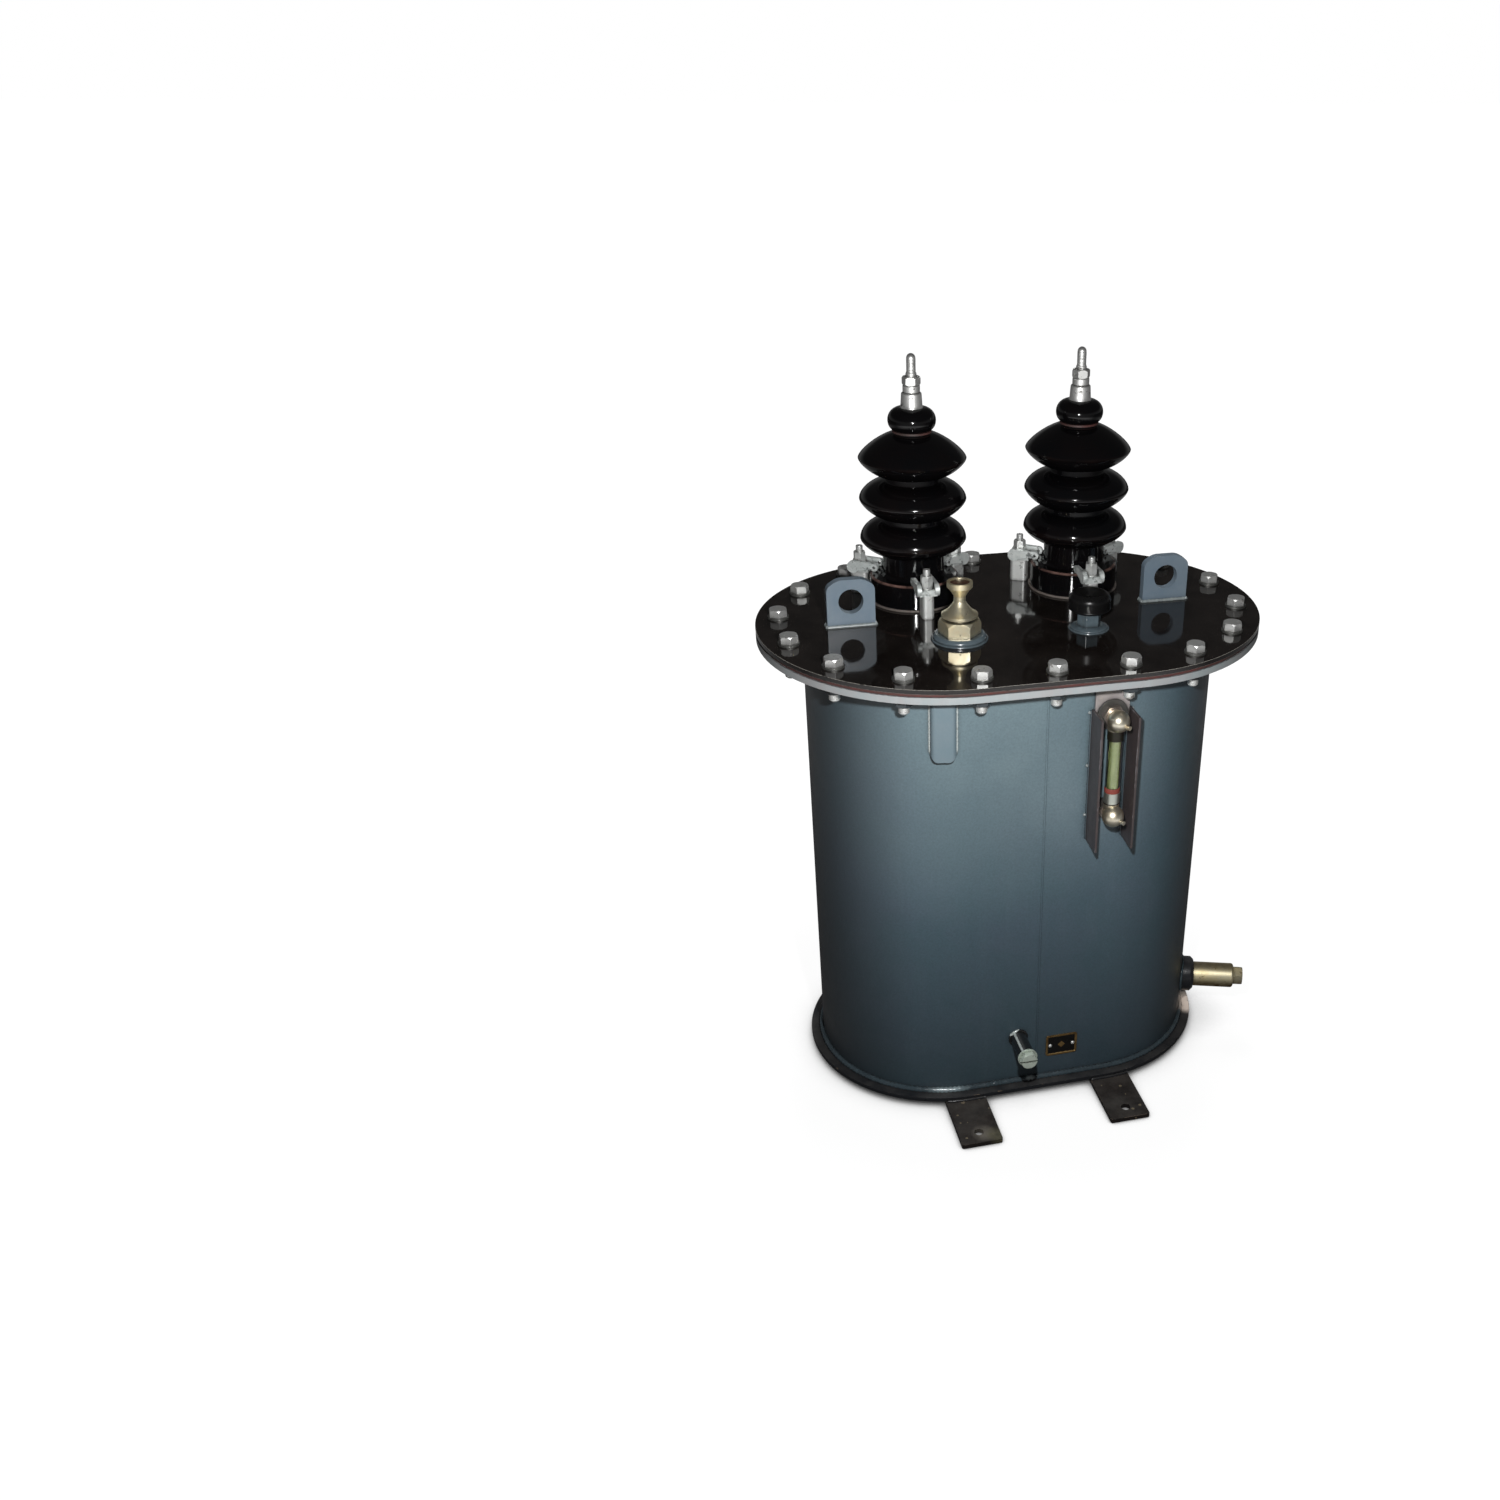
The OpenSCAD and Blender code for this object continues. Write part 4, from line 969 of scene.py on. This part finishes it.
for node in ("bushing_left", "bushing_right", "head_left", "head_right", "gauge_glass"):
    smoothed(node)
for node in ("lug_left", "lug_right"):
    lug(node)
for node, width, finish in (
    ("vent_collar", 0.0008, "collar_paint"), ("filler_collar", 0.0006, "collar_paint"),
    ("filler_neck", 0.0010, "collar_paint"), ("drain_valve", 0.0010, "drain_brass"),
    ("drain_plug", 0.0006, "drain_brass"), ("earth_boss", 0.0008, "earth_paint"),
    ("earth_bolt", 0.0005, "earth_bolt"), ("gauge_fitting_upper", 0.0003, "gauge_brass"),
    ("gauge_fitting_lower", 0.0003, "gauge_brass"),
):
    softened(node, width, finish)
softened("vent_body", 0.0006, turn=15)
softened("front_strap", 0.0022, "strap_paint", segments=3)
softened("lid_bolts", 0.0004, "bolts", turned=True)
softened("lid_nuts", 0.0003, "nut_paint", turned=True)
softened("clamp_nuts", 0.0003, turned=True)
softened("terminal_nuts", 0.0004, turned=True)


# Threads

bolt_spacing = (4 * END_X + 2 * math.pi * BOLT_R) / BOLT_COUNT
bolt_places = [place[:2] for place in oval_path(BOLT_R, 0, bolt_spacing)]
threads(
    "bolt_threads", bolt_places, 0.0057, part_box("lid_bolts")[0].z + 0.002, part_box("lid_nuts")[0].z, 0.00175,
    "bolts", "zinc",
)

clamp_places = []
for side in (-1, 1):
    for around in (-90, 30, 150):
        a = math.radians(around)
        clamp_places.append((side * BUSHING_X + CLAMP_R * math.cos(a), BUSHING_Y + CLAMP_R * math.sin(a)))
threads(
    "clamp_threads", clamp_places, 0.0037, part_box("clamp_nuts")[1].z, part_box("clamp_studs")[1].z - 0.0006,
    0.00125, "zinc", "zinc",
)

terminal_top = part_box("terminal_left")[1].z
threads(
    "terminal_threads", [(-BUSHING_X, BUSHING_Y), (BUSHING_X, BUSHING_Y)], 0.0048, terminal_top - 0.019,
    terminal_top - 0.0055, 0.0015, "tinned", "tinned",
)


# Welds

bead("weld_base", [oval_path(TANK_R + 0.0012, WALL_Z + 0.0012, 0.0026)], 0.0040, "tank_paint", closed=True)
bead("weld_flange", [oval_path(TANK_R + 0.0008, FLANGE_Z - 0.0008, 0.0028)], 0.0028, "tank_paint", closed=True)
bead(
    "weld_seam", [line_path([wall_point(0, WALL_Z, -0.0004), wall_point(0, FLANGE_Z, -0.0004)], 0.0026)],
    0.0014, "tank_paint", "tank_paint",
)
for node in ("lug_left", "lug_right"):
    low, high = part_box(node)
    outline = round_box_path(low, high, 0.001, LID_TOP + 0.0005, 0.0024)
    bead("weld_" + node, [outline], 0.0024, "lug_paint", "weld_pale", closed=True)
for name, node, radius in (("weld_vent", "vent_collar", 0.0300), ("weld_filler", "filler_collar", 0.0215)):
    low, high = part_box(node)
    middle = ((low.x + high.x) / 2, (low.y + high.y) / 2, LID_TOP + 0.0003)
    outline = ring_path(middle, radius, 0.0022)
    bead(name, [outline], 0.0018, "lid_paint", "collar_paint", closed=True, ripple=0.08)

# The strap's arc distance from the middle of the front, half width, length and corner radius
STRAP_S, STRAP_HALF, STRAP_LEN, STRAP_ROUND = -0.1162, 0.0142, 0.0842, 0.009
strap_corners = [(-STRAP_HALF, 0.0), (-STRAP_HALF, -STRAP_LEN + STRAP_ROUND)]
for i in range(1, 4):
    a = math.radians(180 + 22.5 * i)
    strap_corners.append((
        -STRAP_HALF + STRAP_ROUND * (1 + math.cos(a)), -STRAP_LEN + STRAP_ROUND * (1 + math.sin(a)),
    ))
strap_corners += [(-s, z) for s, z in reversed(strap_corners)]
strap_line = line_path([(s, z, 0) for s, z in strap_corners], 0.0026)
# The strap's weld is dressed near-black: painted shade around the strap's edges
bead(
    "weld_strap", [[wall_point(STRAP_S + s, FLANGE_Z + z, 0.0002) for s, z, _ in strap_line]], 0.0019,
    "tank_paint", "earth_paint", ripple=0.06,
)

guard_low, guard_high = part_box("gauge_guard")
fin_lines = []
for x in (guard_low.x, guard_low.x + 0.003, guard_high.x - 0.003, guard_high.x):
    bottom, top = (wall_point(x, z, 0.0002) for z in (guard_low.z + 0.001, guard_high.z - 0.001))
    fin_lines.append(line_path([bottom, top], 0.0026))
bead("weld_fins", fin_lines, 0.0015, "tank_paint", ripple=0.08)

EARTH_S = -0.024  # arc distance of the earth boss
DRAIN_S = END_X + TANK_R * math.radians(71)  # the drain points 19 degrees forward of the right end
drain_low, drain_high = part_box("drain_hub")
earth_low, earth_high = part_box("earth_boss")
bead(
    "weld_hub", [wall_ring(DRAIN_S, (drain_low.z + drain_high.z) / 2, 0.0236)], 0.0026, "boss_steel",
    closed=True, ripple=0.08,
)
bead(
    "weld_earth", [wall_ring(EARTH_S, (earth_low.z + earth_high.z) / 2, 0.0106)], 0.0018, "tank_paint",
    "earth_paint", closed=True,
)
bead("weld_tacks", [
    wall_ring(x, guard_high.z - down, 0.0008, 0.0002)
    for x in (guard_low.x - 0.0020, guard_high.x + 0.0020) for down in (0.004, 0.068, 0.130)
], 0.0013, "guard_paint", "weld_pale", closed=True, ripple=0.04)

FOOT_STEPS = 20
foot_lines = []
for node in ("foot_left", "foot_right"):
    low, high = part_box(node)
    for front in (-1, 1):
        line = []
        for i in range(FOOT_STEPS):
            x = low.x + (high.x - low.x) * (i + 0.5) / FOOT_STEPS
            over = max(0.0, abs(x) - END_X)
            line.append((x, front * (math.sqrt(BASE_R ** 2 - over ** 2) + 0.0006), high.z + 0.0008))
        foot_lines.append(line)
bead("weld_feet", foot_lines, 0.0020, "foot_steel", "base_paint")


# Small fittings


def make_plate():
    """Marking plate: round corners, and a face set back inside a raised border"""
    low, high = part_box("marking_plate")
    bpy.ops.object.select_all(action="DESELECT")
    bpy.ops.mesh.primitive_cube_add(size=1, location=(low + high) / 2)
    plate = bpy.context.active_object
    plate.name = "plate_face"
    plate.dimensions = (high.x - low.x, high.y - low.y + 0.0004, high.z - low.z)
    bpy.ops.object.transform_apply(location=True, rotation=True, scale=True)

    def upright_corner(edge):
        a, b = edge_ends(plate, edge)
        return abs(a.y - b.y) > 0.0005

    choose(plate, "EDGE", upright_corner)
    with editing(plate):
        bpy.ops.mesh.bevel(offset=0.003, segments=4, affect="EDGES")
    choose(plate, "FACE", lambda face: face.normal.y < -0.9)
    with editing(plate):
        bpy.ops.mesh.inset(thickness=0.0022, depth=0.0)
        bpy.ops.mesh.inset(thickness=0.0004, depth=-0.0006)
    round_corners(plate, 0.00022)
    dress(plate, "plate_metal", "plate_metal", "marking_plate")


def make_oil_column():
    """Oil that fills the gauge glass"""
    low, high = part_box("gauge_glass")
    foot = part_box("gauge_ring")[0].z
    bpy.ops.object.select_all(action="DESELECT")
    bpy.ops.mesh.primitive_cylinder_add(
        vertices=40, radius=0.0064, depth=high.z - foot,
        location=((low.x + high.x) / 2, (low.y + high.y) / 2, (high.z + foot) / 2),
    )
    oil = bpy.context.active_object
    oil.name = "gauge_oil"
    bpy.ops.object.transform_apply(location=True, rotation=True, scale=True)
    round_corners(oil, 0.0006)
    dress(oil, "gauge_oil", "gauge_glass")


def make_cap_lip():
    """Thin rolled lip around the bottom of the filler's cap"""
    low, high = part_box("filler_cap")
    middle = ((low.x + high.x) / 2, (low.y + high.y) / 2, low.z + 0.0032)
    lip = tube("cap_lip", [ring_path(middle, 0.0232, 0.003)], 0.0009, 0.0, closed=True)
    dress(lip, "cap_plastic", "cap_plastic")


make_plate()
make_oil_column()
make_cap_lip()


# Floor, light and world


def make_floor():
    """Pale floor, white to the camera, that keeps the object's shadow; its gloss shows a soft bright
    field in front of the object"""
    bpy.ops.mesh.primitive_plane_add(size=40, location=(0, 0, 0))
    floor = bpy.context.active_object
    floor.name = "floor"
    material = bpy.data.materials.new("floor")
    material.use_nodes = True
    board = Board(material.node_tree)
    board.tree.nodes.clear()
    out = board.add("OutputMaterial")
    light_path = board.add("LightPath").outputs
    place = board.add("TexCoord").outputs["Object"]
    distance = board.add("VectorMath", {"operation": "LENGTH"})
    board.link(place, distance.inputs[0])
    away = distance.outputs["Value"]
    under = board.add("AmbientOcclusion", {"samples": 6}, Distance=0.07).outputs["AO"]
    gap = board.add("AmbientOcclusion", {"samples": 6}, Distance=0.014).outputs["AO"]
    shaded = board.times(board.spread(under, 0.15, 0.8, 0.10, 1.0), board.spread(gap, 0.4, 0.85, 0.3, 1.0))
    glow = board.times(board.spread(away, 0.30, 0.62, 0.93, 1.02), shaded)
    seen = board.math("MAXIMUM", light_path["Is Camera Ray"], light_path["Is Transmission Ray"])
    unit = board.add("VectorMath", {"operation": "NORMALIZE"})
    board.link(place, unit.inputs[0])
    forward = board.add("VectorMath", {"operation": "DOT_PRODUCT"})
    board.link(unit.outputs[0], forward.inputs[0])
    forward.inputs[1].default_value = (-0.28, -0.96, 0)
    ahead = board.spread(forward.outputs["Value"], 0.15, 0.85, 0.12, 1.0)
    near = board.spread(away, 0.55, 1.5, 0.02, 1.2)
    far = board.spread(away, 1.7, 2.3, 1.0, 0.15)
    field = board.times(board.times(near, far), ahead)
    shown = board.times(light_path["Is Glossy Ray"], field)
    strength = board.plus(board.times(glow, seen), board.times(shown, board.minus(1.0, seen)))
    white = board.add("Emission", Color=(1, 1, 1), Strength=strength)
    plain = board.add("BsdfDiffuse", Color=(0.12, 0.12, 0.12))
    both = board.add("AddShader")
    board.link(white.outputs[0], both.inputs[0])
    board.link(plain.outputs[0], both.inputs[1])
    board.link(both.outputs[0], out.inputs[0])
    floor.data.materials.append(material)


def make_world():
    """White studio to the camera and through glass; a dim band near the horizon in gloss; plain grey
    elsewhere"""
    world = bpy.data.worlds.new("studio")
    bpy.context.scene.world = world
    world.use_nodes = True
    board = Board(world.node_tree)
    board.tree.nodes.clear()
    out = board.add("OutputWorld")
    light_path = board.add("LightPath").outputs
    height = board.add("SeparateXYZ", Vector=board.add("TexCoord").outputs["Generated"]).outputs[2]
    glossy = light_path["Is Glossy Ray"]
    band = board.times(glossy, board.spread(height, 0.10, 0.30, 0.17, 0.03))
    unseen = board.plus(band, board.times(board.minus(1.0, glossy), 0.06))
    seen = board.math("MAXIMUM", light_path["Is Camera Ray"], light_path["Is Transmission Ray"])
    strength = board.plus(seen, board.times(board.minus(1.0, seen), unseen))
    sky = board.add("Background", Color=(1, 1, 1), Strength=strength)
    board.link(sky.outputs[0], out.inputs[0])


def make_lamp(name, place, aim, size, power, glossy=True):
    data = bpy.data.lights.new(name, "AREA")
    data.shape = "DISK"
    data.size = size
    data.energy = power
    lamp = bpy.data.objects.new(name, data)
    bpy.context.scene.collection.objects.link(lamp)
    lamp.location = place
    lamp.rotation_euler = (Vector(aim) - Vector(place)).to_track_quat("-Z", "Y").to_euler()
    lamp.visible_camera = False
    lamp.visible_glossy = glossy


make_floor()
make_world()
make_lamp("key", (-0.22, -0.80, 0.88), (0, 0, 0.40), 0.032, 6.2)
make_lamp("back", (0.46, 1.58, 1.35), (0, 0, 0.35), 0.8, 24, glossy=False)

bpy.context.scene.view_settings.view_transform = "Standard"
